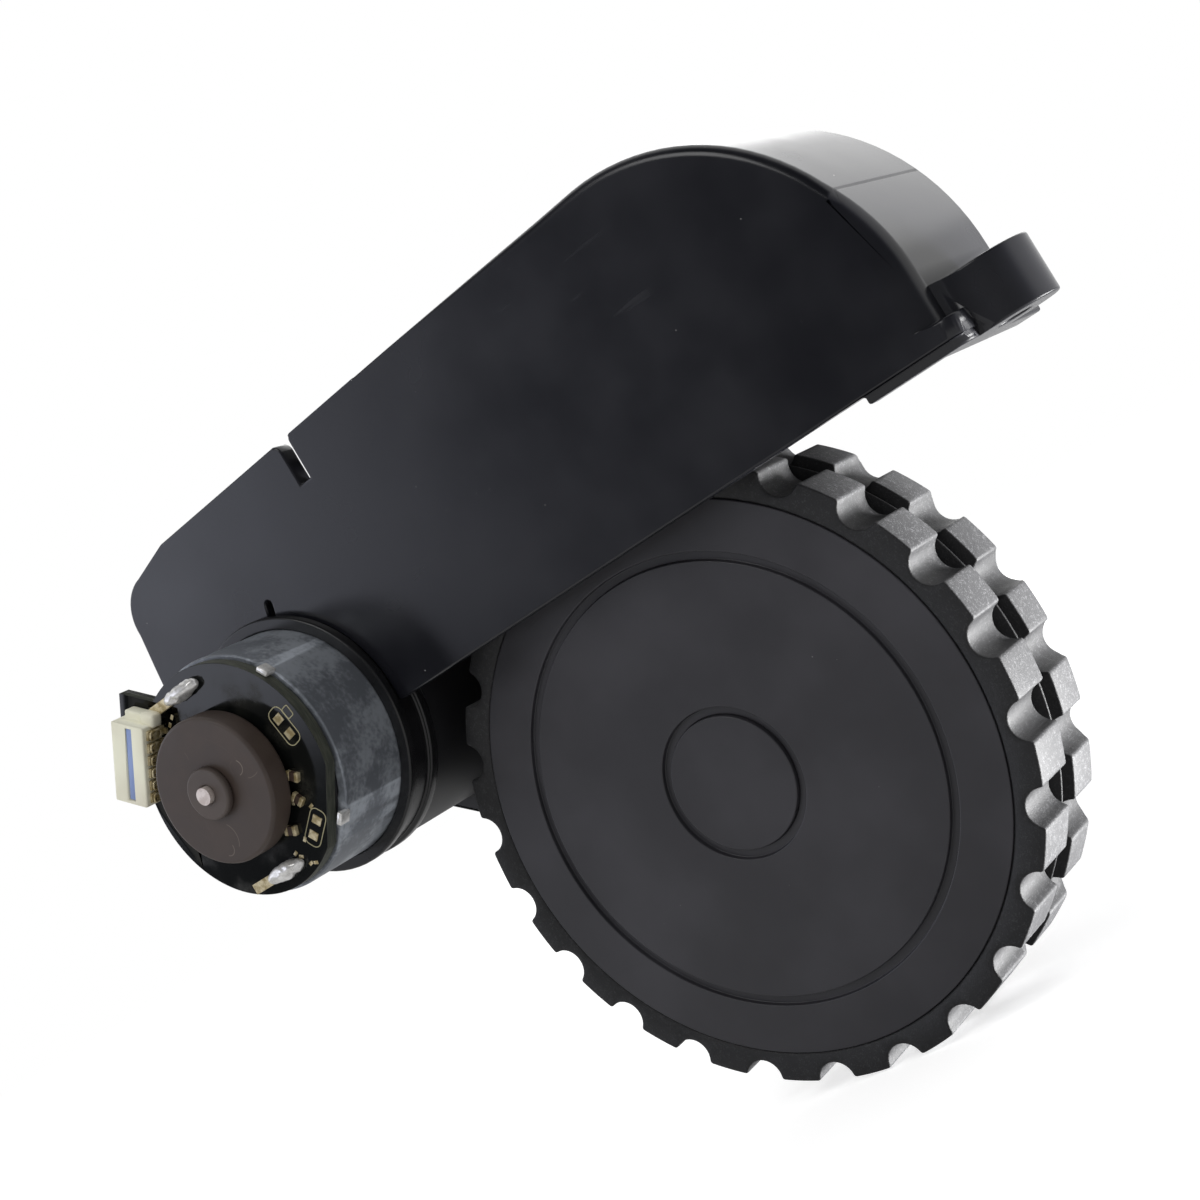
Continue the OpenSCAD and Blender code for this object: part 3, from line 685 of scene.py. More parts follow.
class Finishes:
    """The module's finishes, each made once."""

    def __init__(self, magnet_face: Point) -> None:
        """Build every material.

        Args:
            magnet_face: Middle of the magnet's face in metres.
        """
        along_y, plates, even = (1, 0.04, 1), (0.1, 2.5, 0.1), (1, 1, 1)
        self.gloss = Moulding("gloss_black", (0.0055, 0.0057, 0.008), 0.24, 0.9, 0.0025, 0.8, 0.02,
                              seam=-5.8).make()
        self.case = Moulding("case_black", (0.0055, 0.0055, 0.0062), 0.28, 0.5, 0.003, 0.3, 0.01).make()
        self.satin = Moulding("satin_black", (0.009, 0.009, 0.0105), 0.52, 0.22, 0.006, 0.4, 0.015).make()
        self.grey = Moulding("matt_grey", (0.0238, 0.023, 0.0275), 0.42, 0.2, 0.006, 0.35, 0.008).make()
        self.cream = Moulding("cream_nylon", (0.72, 0.67, 0.54), 0.42, 0.3, 0.004, 0.2, 0.05).make()
        self.acetal = Moulding("white_acetal", (0.76, 0.76, 0.72), 0.35, 0.4, 0.003, 0.1, 0.03).make()
        self.hub = Moulding("hub_brown", (0.06, 0.046, 0.04), 0.5, 0.3, 0.006, 0.3, 0.04).make()
        self.chip = Moulding("chip_resin", (0.05, 0.03, 0.022), 0.45, 0.12, 0.006, 0.2, 0.03).make()
        self.strip = Moulding("pale_strip", (0.2, 0.27, 0.5), 0.35, 0.3, 0.004, 0.2, 0.1).make()
        self.marking = Moulding("pad_outline", (0.36, 0.33, 0.2), 0.6, 0.2, 0.003, 0.1, 0.05).make()
        self.ferrite = Moulding("dark_ferrite", (0.045, 0.045, 0.05), 0.6, 0.3, 0.02, 0.2, 0.05).make()
        self.zinc = Metal("zinc_can", (0.41, 0.44, 0.485), (0.185, 0.2, 0.226), 0.46, 5.0, along_y, 0.004,
                          bare=0.5).make()
        self.screw = Metal("zinc_screw", (0.68, 0.68, 0.7), (0.45, 0.45, 0.46), 0.3).make()
        self.polished = Metal("ground_steel", (0.78, 0.7, 0.66), (0.6, 0.52, 0.48), 0.4, 1.0,
                              bare=0.45).make()
        self.core = Metal("core_steel", (0.34, 0.34, 0.36), (0.22, 0.21, 0.2), 0.45, 3, plates, 0.03).make()
        self.spring = Metal("spring_steel", (0.52, 0.52, 0.54), (0.33, 0.32, 0.31), 0.3, 2).make()
        self.solder = Metal("solder", (0.88, 0.87, 0.86), (0.62, 0.61, 0.59), 0.22, 1.0, even, 0.03,
                            bare=0.45).make()
        self.gold = Metal("tarnished_gold", (0.72, 0.63, 0.42), (0.36, 0.28, 0.13), 0.34, 0.7,
                          bare=0.35).make()
        self.brass = Metal("brass", (0.75, 0.58, 0.28), (0.55, 0.4, 0.18), 0.3, 2).make()
        self.bronze = Metal("sintered_bronze", (0.55, 0.38, 0.2), (0.36, 0.24, 0.12), 0.55, 0.4).make()
        self.copper = Metal("copper", (0.78, 0.42, 0.28), (0.5, 0.26, 0.16), 0.3, 2).make()
        self.rubber = TreadRubber().make()
        self.lacquer = BoardLacquer().make()
        self.board_core = BoardCore().make()
        self.magnet = ScuffedMagnet(magnet_face).make()
        self.wire = WoundWire().make()


@dataclass(frozen=True)
class Layout:
    """Places that the pieces are built on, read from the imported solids, in millimetres.

    Attributes:
        swing_x: X of the swing axis, which is the motor's own.
        swing_z: Z of the swing axis.
        wheel_x: X of the wheel's axis.
        wheel_z: Z of the wheel's axis.
        face: Y of the wheel's open face.
        board: Y of the board's outer face.
        magnet: Y of the magnet's outer face.
    """

    swing_x: float
    swing_z: float
    wheel_x: float
    wheel_z: float
    face: float
    board: float
    magnet: float

    @classmethod
    def from_frame(cls) -> "Layout":
        """Read the places from the frame.

        Returns:
            The places.
        """
        hub, cap = cls.corners("encoder_hub"), cls.corners("hub_cap")
        return cls(*cls.middle(hub), *cls.middle(cap), cap[0].y,
                   cls.corners("circuit_board")[0].y, cls.corners("encoder_magnet")[0].y)

    @staticmethod
    def corners(node: str) -> tuple[Vector, Vector]:
        """Lowest and highest corners of a node in millimetres."""
        low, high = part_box(node)
        return low / MM, high / MM

    @staticmethod
    def middle(box: tuple[Vector, Vector]) -> tuple[float, float]:
        """X and Z of the middle of a box."""
        return (box[0].x + box[1].x) / 2, (box[0].z + box[1].z) / 2


@dataclass(frozen=True)
class Block:
    """A block with rounded edges, in millimetres.

    Attributes:
        low: Its lowest corner.
        high: Its highest corner.
        radius: Radius of its edges.
    """

    low: Point
    high: Point
    radius: float


class Maker:
    """Turns point lists, node trees and copies of solids into finished pieces.

    Attributes:
        WELD: Distance in metres under which the loose triangles of a solid are joined.
        FLAT: Turn up to which neighbouring facets are one flat face.
        CORNER: Turn from which an edge counts as sharp.
        FOLD: Turn from which a rounded edge counts as folded over.
        ALONG: Cosine up to which a neighbouring edge goes on along a sharp edge.
        MERGE: Distance in millimetres under which a copy's vertices are joined.
        PIECE: Length in millimetres of the pieces that a wide edge is divided into.
        SHARE: Part of a neighbouring edge that a rounding may take.
        TRIES: Rounds in which folded edges are made sharp again.
        REACH: Distance in millimetres from a fold at which edges are made sharp, and its growth each round.
        SMALL: Layer with the weights of the ordinary roundings.
        WIDE: Layer with the weights of the wide roundings.
    """

    WELD = 2e-6
    FLAT = radians(0.6)
    CORNER = radians(36)
    FOLD = radians(125)
    ALONG = cos(radians(35))
    MERGE = 0.03
    PIECE = 6.0
    SHARE = 0.3
    TRIES = 5
    REACH = (0.5, 0.3)
    SMALL = "bevel_weight_edge"
    WIDE = "wide_weight_edge"

    @staticmethod
    def link(name: str, data: bpy.types.ID) -> bpy.types.Object:
        """Put new data into the scene as an object.

        Args:
            name: Name of the object.
            data: Mesh, curve, light or camera.

        Returns:
            The object.
        """
        made = bpy.data.objects.new(name, data)
        bpy.context.scene.collection.objects.link(made)
        return made

    @staticmethod
    def grid(name: str, rows: Sequence[Sequence[Vector]], close_rows: bool,
             close_columns: bool) -> bpy.types.Mesh:
        """Mesh of quads through rows of points given in millimetres.

        Args:
            name: Name of the mesh.
            rows: Rows of equally many points.
            close_rows: Whether the last row joins the first.
            close_columns: Whether each row's last point joins its first.

        Returns:
            The mesh, in metres.
        """
        across = len(rows[0])
        points = [point * MM for row in rows for point in row]
        faces = []
        for i in range(len(rows) if close_rows else len(rows) - 1):
            for j in range(across if close_columns else across - 1):
                nearer, further = i * across, (i + 1) % len(rows) * across
                after = (j + 1) % across
                faces.append((nearer + j, nearer + after, further + after, further + j))
        mesh = bpy.data.meshes.new(name)
        mesh.from_pydata(points, [], faces)
        return mesh

    @staticmethod
    def box(block: Block, name: str) -> bpy.types.Mesh:
        """Block with rounded edges.

        Args:
            block: Its corners and the radius of its edges.
            name: Name of the mesh.

        Returns:
            The mesh, in metres.
        """
        low, high = Vector(block.low), Vector(block.high)
        shape = bmesh.new()
        bmesh.ops.create_cube(shape, size=1.0)
        place = Matrix.Translation((high + low) / 2) @ Matrix.Diagonal((*(high - low), 1.0))
        bmesh.ops.transform(shape, matrix=place, verts=shape.verts)
        bmesh.ops.bevel(shape, geom=shape.edges[:], offset=block.radius, segments=3, profile=0.5,
                        affect="EDGES")
        bmesh.ops.scale(shape, vec=(MM, MM, MM), verts=shape.verts)
        mesh = bpy.data.meshes.new(name)
        shape.to_mesh(mesh)
        shape.free()
        return mesh

    @classmethod
    def piece(cls, name: str, mesh: bpy.types.Mesh, finish: bpy.types.Material, body: Body | None,
              slot: str, smooth: float | None = 38.0) -> bpy.types.Object:
        """Finish a piece: smooth faces, normals, material and body.

        Args:
            name: Name of the piece.
            mesh: Its mesh, in place and in metres.
            finish: Its material.
            body: Body that it rides on, or None for a piece on no body.
            slot: Material slot of the record; not used.
            smooth: Angle in degrees past which an edge stays sharp, or None where the normals are set.

        Returns:
            The piece.
        """
        if not mesh.materials:
            mesh.materials.append(finish)
        if smooth is not None:
            mesh.polygons.foreach_set("use_smooth", [True] * len(mesh.polygons))
            mesh.set_sharp_from_angle(angle=radians(smooth))
        made = cls.link(name, mesh)
        if body is not None:
            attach(made, body.value)
        log.info("%s: %d faces on %s", name, len(mesh.polygons), body.value if body else "two bodies")
        return made

    @classmethod
    def softened(cls, node: str, radius: float, finish: bpy.types.Material, body: Body, slot: str,
                 paint: Callable[[bpy.types.MeshPolygon], int] | None = None,
                 extra: Sequence[bpy.types.Material] = (),
                 wide: float = 0.0, share: Callable[[Vector], float] | None = None) -> bpy.types.Object:
        """Copy of a solid whose edges have a small radius, standing for that solid.

        Args:
            node: Solid that is copied.
            radius: Radius of the edges in millimetres.
            finish: Material of the copy.
            body: Body that it rides on.
            slot: Material slot of the record.
            paint: Gives a face's material number, or None for one material.
            extra: Further materials that paint picks from.
            wide: Radius of the wide edges in millimetres.
            share: Gives the part of the wide radius that an edge takes from its middle in millimetres, 0 for
                an ordinary edge, or None for no wide edges.

        Returns:
            The new piece.
        """
        mesh = cls.weighted(node, radius, share)
        for material in (finish, *extra):
            mesh.materials.append(material)
        mesh.polygons.foreach_set("use_smooth", [True] * len(mesh.polygons))
        rough = cls.link(node + "_rough", mesh)
        for layer, size, segments in ((cls.WIDE, wide, 5), (cls.SMALL, radius, 2)):
            if size > 0:
                rounding = rough.modifiers.new(layer, "BEVEL")
                rounding.width = size * MM
                rounding.segments = segments
                rounding.limit_method = "WEIGHT"
                rounding.edge_weight = layer
                rounding.use_clamp_overlap = False
        cls.settle(rough)
        levelling = rough.modifiers.new("normals", "WEIGHTED_NORMAL")
        levelling.keep_sharp = True
        done = cls.baked(rough, node)
        if paint is not None:
            for polygon in done.polygons:
                polygon.material_index = paint(polygon)
        made = cls.piece(node + "_skin", done, finish, body, slot, smooth=None)
        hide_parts(node)
        return made

    @classmethod
    def merged(cls, node: str) -> bmesh.types.BMesh:
        """Copy of a solid with its loose triangles joined.

        Args:
            node: Solid that is copied.

        Returns:
            The copy, for bmesh.
        """
        shape = bmesh.new()
        shape.from_mesh(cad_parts[node].data)
        bmesh.ops.remove_doubles(shape, verts=shape.verts[:], dist=cls.WELD)
        return shape

    @classmethod
    def weighted(cls, node: str, radius: float,
                 share: Callable[[Vector], float] | None) -> bpy.types.Mesh:
        """Copy of a solid with flat faces in one piece and weights on its sharp edges.

        Args:
            node: Solid that is copied.
            radius: Radius of the ordinary edges in millimetres.
            share: Gives the part of the wide radius that an edge takes, or None for no wide edges.

        Returns:
            The copy, without materials.
        """
        shape = cls.merged(node)
        bmesh.ops.dissolve_limit(shape, angle_limit=cls.FLAT, verts=shape.verts[:], edges=shape.edges[:])
        bmesh.ops.remove_doubles(shape, verts=shape.verts[:], dist=cls.MERGE * MM)
        piece = cls.PIECE * MM
        if share is not None:
            for edge in [e for e in shape.edges if e.calc_length() > piece and share(cls.middle(e)) > 0]:
                bmesh.ops.bisect_edges(shape, edges=[edge], cuts=int(edge.calc_length() / piece))
        weight = shape.edges.layers.float.new(cls.SMALL)
        wide_weight = shape.edges.layers.float.new(cls.WIDE)
        for edge in shape.edges:
            if edge.calc_face_angle(0.0) > cls.CORNER:
                edge[wide_weight] = share(cls.middle(edge)) if share else 0.0
                edge[weight] = 0.0 if edge[wide_weight] > 0 else min(1.0, cls.space(edge) / (radius * MM))
        mesh = bpy.data.meshes.new(node)
        shape.to_mesh(mesh)
        shape.free()
        mesh.materials.clear()
        return mesh

    @staticmethod
    def middle(edge: bmesh.types.BMEdge) -> Vector:
        """Middle of an edge in millimetres."""
        return (edge.verts[0].co + edge.verts[1].co) / 2 / MM

    @classmethod
    def space(cls, edge: bmesh.types.BMEdge) -> float:
        """Largest radius that an edge's neighbours leave it.

        Args:
            edge: Sharp edge.

        Returns:
            The radius in metres.
        """
        most = 1.0
        for vert in edge.verts:
            along = (edge.other_vert(vert).co - vert.co).normalized()
            for other in vert.link_edges:
                way = other.other_vert(vert).co - vert.co
                if other is not edge and way.normalized().dot(along) > -cls.ALONG:
                    most = min(most, way.length * cls.SHARE)
        return most

    @classmethod
    def settle(cls, rough: bpy.types.Object) -> None:
        """Leave sharp the edges whose rounding would fold over.

        Args:
            rough: Object with its roundings as modifiers.
        """
        mesh = rough.data
        for attempt in range(cls.TRIES):
            bpy.context.view_layer.update()
            shape = bmesh.new()
            shape.from_mesh(rough.evaluated_get(bpy.context.evaluated_depsgraph_get()).data)
            folds = [cls.middle(edge) * MM for edge in shape.edges
                     if len(edge.link_faces) == 2 and edge.calc_face_angle(0.0) > cls.FOLD]
            shape.free()
            if not folds:
                break
            reach = (cls.REACH[0] + cls.REACH[1] * attempt) * MM
            weights = mesh.attributes[cls.SMALL].data
            for edge in (e for e in mesh.edges if weights[e.index].value > 0):
                start, end = (mesh.vertices[k].co for k in edge.vertices)
                if any(cls.distance(fold, start, end) < reach for fold in folds):
                    weights[edge.index].value = 0.0
            mesh.update()

    @staticmethod
    def distance(point: Vector, start: Vector, end: Vector) -> float:
        """Distance from a point to a straight edge.

        Args:
            point: The point.
            start: One end of the edge.
            end: Its other end.

        Returns:
            The distance, in the points' own unit.
        """
        way = end - start
        share = (point - start).dot(way) / max(way.length_squared, 1e-12)
        return (start + way * max(0.0, min(1.0, share)) - point).length

    @staticmethod
    def baked(rough: bpy.types.Object, name: str) -> bpy.types.Mesh:
        """Apply an object's modifiers and remove the object.

        Args:
            rough: Object with modifiers.
            name: Name of the new mesh.

        Returns:
            The resulting mesh.
        """
        depsgraph = bpy.context.evaluated_depsgraph_get()
        mesh = bpy.data.meshes.new_from_object(rough.evaluated_get(depsgraph))
        mesh.name = name
        rough.modifiers.clear()
        bpy.data.objects.remove(rough)
        return mesh

    @classmethod
    def grown(cls, name: str, data: bpy.types.ID, tree: "Recipe", **values: Any) -> bpy.types.Mesh:
        """Run a Geometry Nodes tree on some data.

        Args:
            name: Name of the new mesh.
            data: Mesh or curve that the tree starts from.
            tree: Tree to run.
            values: Values of the tree's inputs by name.

        Returns:
            The resulting mesh.
        """
        rough = cls.link(name + "_rough", data)
        modifier = rough.modifiers.new("grow", "NODES")
        modifier.node_group = tree.group
        for label, value in values.items():
            modifier[tree.inputs[label]] = value
        return cls.baked(rough, name)

    @staticmethod
    def rounded_loop(width: float, length: float, corner: float, steps: int) -> list[Vector]:
        """Points of a rectangle with round corners.

        Args:
            width: Width along the first axis.
            length: Length along the second axis.
            corner: Radius of its corners.
            steps: Steps round each corner.

        Returns:
            The points round the middle of the rectangle, in its own two axes.
        """
        points = []
        for quarter, (side, end) in enumerate(((1, 1), (-1, 1), (-1, -1), (1, -1))):
            middle = Vector((side * (width / 2 - corner), end * (length / 2 - corner)))
            for k in range(steps + 1):
                turn = radians(90 * quarter + 90 * k / steps)
                points.append(middle + Vector((cos(turn), sin(turn))) * corner)
        return points

    @staticmethod
    def path(name: str, points: Iterable[Vector], closed: bool = False) -> bpy.types.Curve:
        """Curve through points given in millimetres.

        Args:
            name: Name of the curve.
            points: Points along it.
            closed: Whether it closes on itself.

        Returns:
            The curve, in metres.
        """
        listed = [point * MM for point in points]
        curve = bpy.data.curves.new(name, "CURVE")
        curve.dimensions = "3D"
        spline = curve.splines.new("POLY")
        spline.points.add(len(listed) - 1)
        for target, point in zip(spline.points, listed):
            target.co = (*point, 1.0)
        spline.use_cyclic_u = closed
        return curve


class Recipe:
    """A Geometry Nodes tree with named inputs."""

    def __init__(self, name: str, sockets: dict[str, tuple[str, Any]]) -> None:
        """Start the tree with its inputs and output.

        Args:
            name: Name of the tree.
            sockets: Type and default of each input by its name.
        """
        self.group = bpy.data.node_groups.new(name, "GeometryNodeTree")
        self.graph = Graph(self.group)
        self.inputs: dict[str, str] = {}
        face = self.group.interface
        face.new_socket("Geometry", in_out="INPUT", socket_type="NodeSocketGeometry")
        for label, (kind, default) in sockets.items():
            socket = face.new_socket(label, in_out="INPUT", socket_type=kind)
            if default is not None:
                socket.default_value = default
            self.inputs[label] = socket.identifier
        face.new_socket("Geometry", in_out="OUTPUT", socket_type="NodeSocketGeometry")
        self.source = self.graph.node("NodeGroupInput")

    def given(self, label: str) -> Sock:
        """Value of a named input."""
        return Sock(self.graph, self.source.outputs[label])

    def close(self, shape: Sock) -> None:
        """End the tree with Realize Instances and Set Material.

        Args:
            shape: Geometry that the tree has made.
        """
        real = self.graph.value("GeometryNodeRealizeInstances", None, {0: shape})
        dressed = self.graph.value("GeometryNodeSetMaterial", None,
                                   {"Geometry": real, "Material": self.given("Material")})
        self.graph.node("NodeGroupOutput", None, {0: dressed})

    @classmethod
    def ring(cls) -> "Recipe":
        """Tree that repeats a patch round the Y axis, joins the patches and moves the ring into place.

        Returns:
            The tree.
        """
        tree = cls("patch_ring", {"Count": ("NodeSocketInt", 24), "Centre": ("NodeSocketVector", None),
                                  "Material": ("NodeSocketMaterial", None)})
        graph, count = tree.graph, tree.given("Count")
        spots = graph.value("GeometryNodeMeshLine", None, {"Count": count, "Offset": (0, 0, 0)})
        angle = graph.value("GeometryNodeInputIndex") * -tau / count
        euler = graph.value("ShaderNodeCombineXYZ", None, {1: angle})
        rotation = graph.value("FunctionNodeEulerToRotation", None, {0: euler})
        ring = graph.value("GeometryNodeInstanceOnPoints", None,
                           {"Points": spots, "Instance": tree.given("Geometry"), "Rotation": rotation})
        real = graph.value("GeometryNodeRealizeInstances", None, {0: ring})
        joined = graph.value("GeometryNodeMergeByDistance", None, {"Geometry": real, "Distance": Maker.WELD})
        moved = graph.value("GeometryNodeTransform", None,
                            {"Geometry": joined, "Translation": tree.given("Centre")})
        tree.close(moved)
        return tree

    @classmethod
    def row(cls) -> "Recipe":
        """Tree that repeats a piece along a straight line.

        Returns:
            The tree.
        """
        tree = cls("piece_row", {"Count": ("NodeSocketInt", 6), "Step": ("NodeSocketVector", None),
                                 "Material": ("NodeSocketMaterial", None)})
        spots = tree.graph.value("GeometryNodeMeshLine", None,
                                 {"Count": tree.given("Count"), "Offset": tree.given("Step")})
        placed = tree.graph.value("GeometryNodeInstanceOnPoints", None,
                                  {"Points": spots, "Instance": tree.given("Geometry")})
        tree.close(placed)
        return tree

    @classmethod
    def wire(cls) -> "Recipe":
        """Tree that gives a curve the round section of a wire.

        Returns:
            The tree.
        """
        tree = cls("wire", {"Radius": ("NodeSocketFloat", 0.0004), "Sides": ("NodeSocketInt", 12),
                            "Material": ("NodeSocketMaterial", None)})
        graph = tree.graph
        section = graph.value("GeometryNodeCurvePrimitiveCircle", None,
                              {"Resolution": tree.given("Sides"), "Radius": tree.given("Radius")})
        tube = graph.value("GeometryNodeCurveToMesh", None,
                           {"Curve": tree.given("Geometry"), "Profile Curve": section, "Fill Caps": True})
        tree.close(tube)
        return tree


@dataclass
class Tyre:
    """Rubber tyre with two rows of lugs, a channel and a thin fin between them.

    Attributes:
        layout: Places read from the frame.
        radius: Outside radius.
        seam: Radius where the rubber meets the rim.
        width: Width along the axle.
        count: Lugs in each row.
        scallop: Radius of the scallops between the lugs.
        phase: Angle of the first scallop of the front row in degrees.
        lug_corner: Radius of the lugs' corners along the tread.
        edge: Radius of the lugs' edges.
        channel: Start and end of the channel from the front face.
        floor: Radius of the channel's floor.
        fillet: Size of the fillets beside the channel's floor.
        fin: Middle, half thickness and top radius of the fin.
        fin_foot: Width of the fillets at the fin's foot.
        fin_edge: Height of the bevels at the fin's top.
        bevel: Size of the rear shoulder's bevel.
        shoulder: Depth under the tread and distance from the bevel of the points that lead to it.
        heel: Depth under the bevel and distance from the rear face of the points that lead away from it.
        back_edge: Size of the small bevel where the rear face meets the rim.
        line: Size of the fine line beside the rim.
        overhang: Distance of the scallops' centres outside the tread.
        arc_steps: Steps along a scallop's side.
        corner_steps: Steps round a lug's corner.
        top_steps: Steps along half a lug's top.
        edge_steps: Steps round a lug's edge.
        shelter: Wear at the bottom of a scallop, where a lug's top has 1.
        fade: Depth under the tread over which the wear falls away.
        side_loss: Wear that is lost as a face turns to the side.
        WEAR: Name of the attribute that holds the wear.
        MARGIN: Distance in from the channel's walls at which the wear stops.
    """

    layout: Layout
    radius: float = 34.0
    seam: float = 30.7
    width: float = 15.44
    count: int = 24
    scallop: float = 2.1
    phase: float = 1.3
    lug_corner: float = 0.35
    edge: float = 0.2
    channel: tuple[float, float] = (6.94, 8.74)
    floor: float = 31.5
    fillet: float = 0.12
    fin: tuple[float, float, float] = (7.84, 0.175, 33.0)
    fin_foot: float = 0.08
    fin_edge: float = 0.1
    bevel: float = 1.2
    shoulder: tuple[tuple[float, float], ...] = ((0.0, 0.2), (0.06, 0.04))
    heel: tuple[tuple[float, float], ...] = ((0.1, 0.04), (0.25, 0.0))
    back_edge: float = 0.1
    line: float = 0.3
    overhang: float = 0.1
    arc_steps: int = 7
    corner_steps: int = 3
    top_steps: int = 5
    edge_steps: int = 3
    shelter: float = 0.4
    fade: float = 0.8
    side_loss: float = 1.4
    WEAR: ClassVar[str] = "wear"
    MARGIN: ClassVar[float] = 0.02

    def half_outline(self) -> list[tuple[Vector, Vector]]:
        """Outline of a lug from the bottom of a scallop to the middle of the lug.

        Returns:
            Points with their outward normals, X along the scallop's own radius of the wheel.
        """
        centre = Vector((self.radius + self.overhang, 0.0))
        far, near = self.radius - self.lug_corner, self.scallop + self.lug_corner
        lean = acos((far * far + centre.x**2 - near * near) / (2 * far * centre.x))
        corner = Vector((far * cos(lean), far * sin(lean)))
        inward = (corner - centre).normalized()
        reach = atan2(inward.y, inward.x)
        points = []
        for k in range(self.arc_steps):
            angle = pi + (reach - pi) * k / self.arc_steps
            way = Vector((cos(angle), sin(angle)))
            points.append((centre + way * self.scallop, -way))
        start, end = atan2(-inward.y, -inward.x), lean
        for k in range(self.corner_steps):
            angle = start + (end - start) * k / self.corner_steps
            way = Vector((cos(angle), sin(angle)))
            points.append((corner + way * self.lug_corner, way))
        for k in range(self.top_steps + 1):
            angle = lean + (pi / self.count - lean) * k / self.top_steps
            way = Vector((cos(angle), sin(angle)))
            points.append((way * self.radius, way))
        return points

    def outline(self, from_top: bool) -> list[tuple[Vector, Vector]]:
        """Outline over one pitch.

        Args:
            from_top: Whether it starts at the middle of a lug instead of a scallop.

        Returns:
            Points with their normals, the ends included.
        """
        half = self.half_outline()
        pitch = tau / self.count

        def turned(vector: Vector, angle: float) -> Vector:
            """Vector turned about the axle."""
            return Vector((vector.x * cos(angle) - vector.y * sin(angle),
                           vector.x * sin(angle) + vector.y * cos(angle)))

        def mirrored(pair: tuple[Vector, Vector]) -> tuple[Vector, Vector]:
            """Point and normal on the scallop's other side."""
            return Vector((pair[0].x, -pair[0].y)), Vector((pair[1].x, -pair[1].y))

        falling = [mirrored(pair) for pair in reversed(half)]
        if from_top:
            rising = [(turned(p, pitch / 2), turned(n, pitch / 2)) for p, n in half[1:]]
            return [(turned(p, pitch / 2), turned(n, pitch / 2)) for p, n in falling] + rising
        lifted = [(turned(p, pitch), turned(n, pitch)) for p, n in falling[1:]]
        return half + lifted

    def section(self, front: tuple[Vector, Vector], rear: tuple[Vector, Vector]) -> list[Vector]:
        """Closed section of the rubber at one place round the wheel.

        Args:
            front: Point and normal of the front row's outline.
            rear: Point and normal of the rear row's outline.

        Returns:
            Points round the section.
        """
        def at(flat: Vector, y: float) -> Vector:
            """Point in space from a point of the outline."""
            return Vector((flat.x, y, flat.y))

        def on(flat: Vector, radius: float, y: float) -> Vector:
            """Point at a given radius, in line with a point of the outline."""
            return at(flat.normalized() * radius, y)

        def round_in(pair: tuple[Vector, Vector], y: float, side: int) -> list[Vector]:
            """Rounded edge that rises from a side face to the tread.

            Args:
                pair: Point and normal of the outline.
                y: Place of the side face.
                side: 1 where the rubber lies behind that face, and -1 where it lies in front.

            Returns:
                Points from the face to the tread.
            """
            point, normal = pair
            result = []
            for k in range(self.edge_steps + 1):
                angle = pi / 2 * k / self.edge_steps
                inset = self.edge * (1 - sin(angle))
                result.append(at(point - normal * inset, y + side * self.edge * (1 - cos(angle))))
            return result

        start, end = self.channel
        floor, fillet = self.floor, self.fillet
        middle, half, top = self.fin
        spot = (front[0].normalized() + rear[0].normalized()) / 2
        rise = [(floor, half + self.fin_foot), (floor + fillet, half)]
        rise += [(top - self.fin_edge, half), (top, half / 2)]
        points = [on(front[0], self.seam, self.line), on(front[0], self.seam + self.line, 0.0)]
        points += round_in(front, 0.0, 1)
        points += reversed(round_in(front, start, -1))
        points += [on(front[0], floor + fillet, start), on(front[0], floor, start + fillet)]
        points += [on(spot, radius, middle - aside) for radius, aside in rise]
        points += [on(spot, radius, middle + aside) for radius, aside in reversed(rise)]
        points += [on(rear[0], floor, end - fillet), on(rear[0], floor + fillet, end)]
        points += round_in(rear, end, 1)
        reach = rear[0].length
        cut = max(0.0, reach - (self.radius - self.bevel))
        points += [on(rear[0], reach - down, self.width - cut - back) for down, back in self.shoulder]
        points += [on(rear[0], reach - cut - down, self.width - back) for down, back in self.heel]
        points.append(on(rear[0], self.seam + self.back_edge, self.width))
        points.append(on(rear[0], self.seam, self.width - self.back_edge))
        return points

    def build(self, finish: bpy.types.Material) -> None:
        """Make the tyre in place of its plain solid.

        Args:
            finish: Rubber.
        """
        front, rear = self.outline(False), self.outline(True)
        turn = Matrix.Rotation(-radians(self.phase), 3, "Y")
        rows = [[turn @ p for p in self.section(a, b)] for a, b in zip(front, rear)]
        patch = Maker.grid("lug_patch", rows, close_rows=False, close_columns=True)
        centre = Vector((self.layout.wheel_x, self.layout.face, self.layout.wheel_z)) * MM
        mesh = Maker.grown("tyre_tread", patch, Recipe.ring(), Count=self.count, Centre=centre,
                           Material=finish)
        self.outward(mesh)
        self.store_wear(mesh)
        made = Maker.piece("tyre_tread", mesh, finish, Body.WHEEL, "tyre_rubber", smooth=50.0)
        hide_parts("tyre")

    def store_wear(self, mesh: bpy.types.Mesh) -> None:
        """Store how much each place of the tread is worn, none in the channel or on the side walls.

        Args:
            mesh: The tyre's mesh.
        """
        start, end = (self.layout.face + y for y in self.channel)
        values = []
        for vertex in mesh.vertices:
            place = vertex.co / MM
            reach = hypot(place.x - self.layout.wheel_x, place.z - self.layout.wheel_z)
            rubbed = min(1.0, max(self.shelter, 1 + (reach - self.radius) / self.fade))
            hidden = start + self.MARGIN < place.y < end - self.MARGIN
            values.append(0.0 if hidden else rubbed * max(0.0, 1 - self.side_loss * abs(vertex.normal.y)))
        mesh.attributes.new(self.WEAR, "FLOAT", "POINT").data.foreach_set("value", values)

    @staticmethod
    def outward(mesh: bpy.types.Mesh) -> None:
        """Turn every face of a closed mesh outwards.

        Args:
            mesh: The mesh.
        """
        shape = bmesh.new()
        shape.from_mesh(mesh)
        bmesh.ops.recalc_face_normals(shape, faces=shape.faces[:])
        if shape.calc_volume(signed=True) < 0:
            bmesh.ops.reverse_faces(shape, faces=shape.faces[:])
        shape.to_mesh(mesh)
        shape.free()


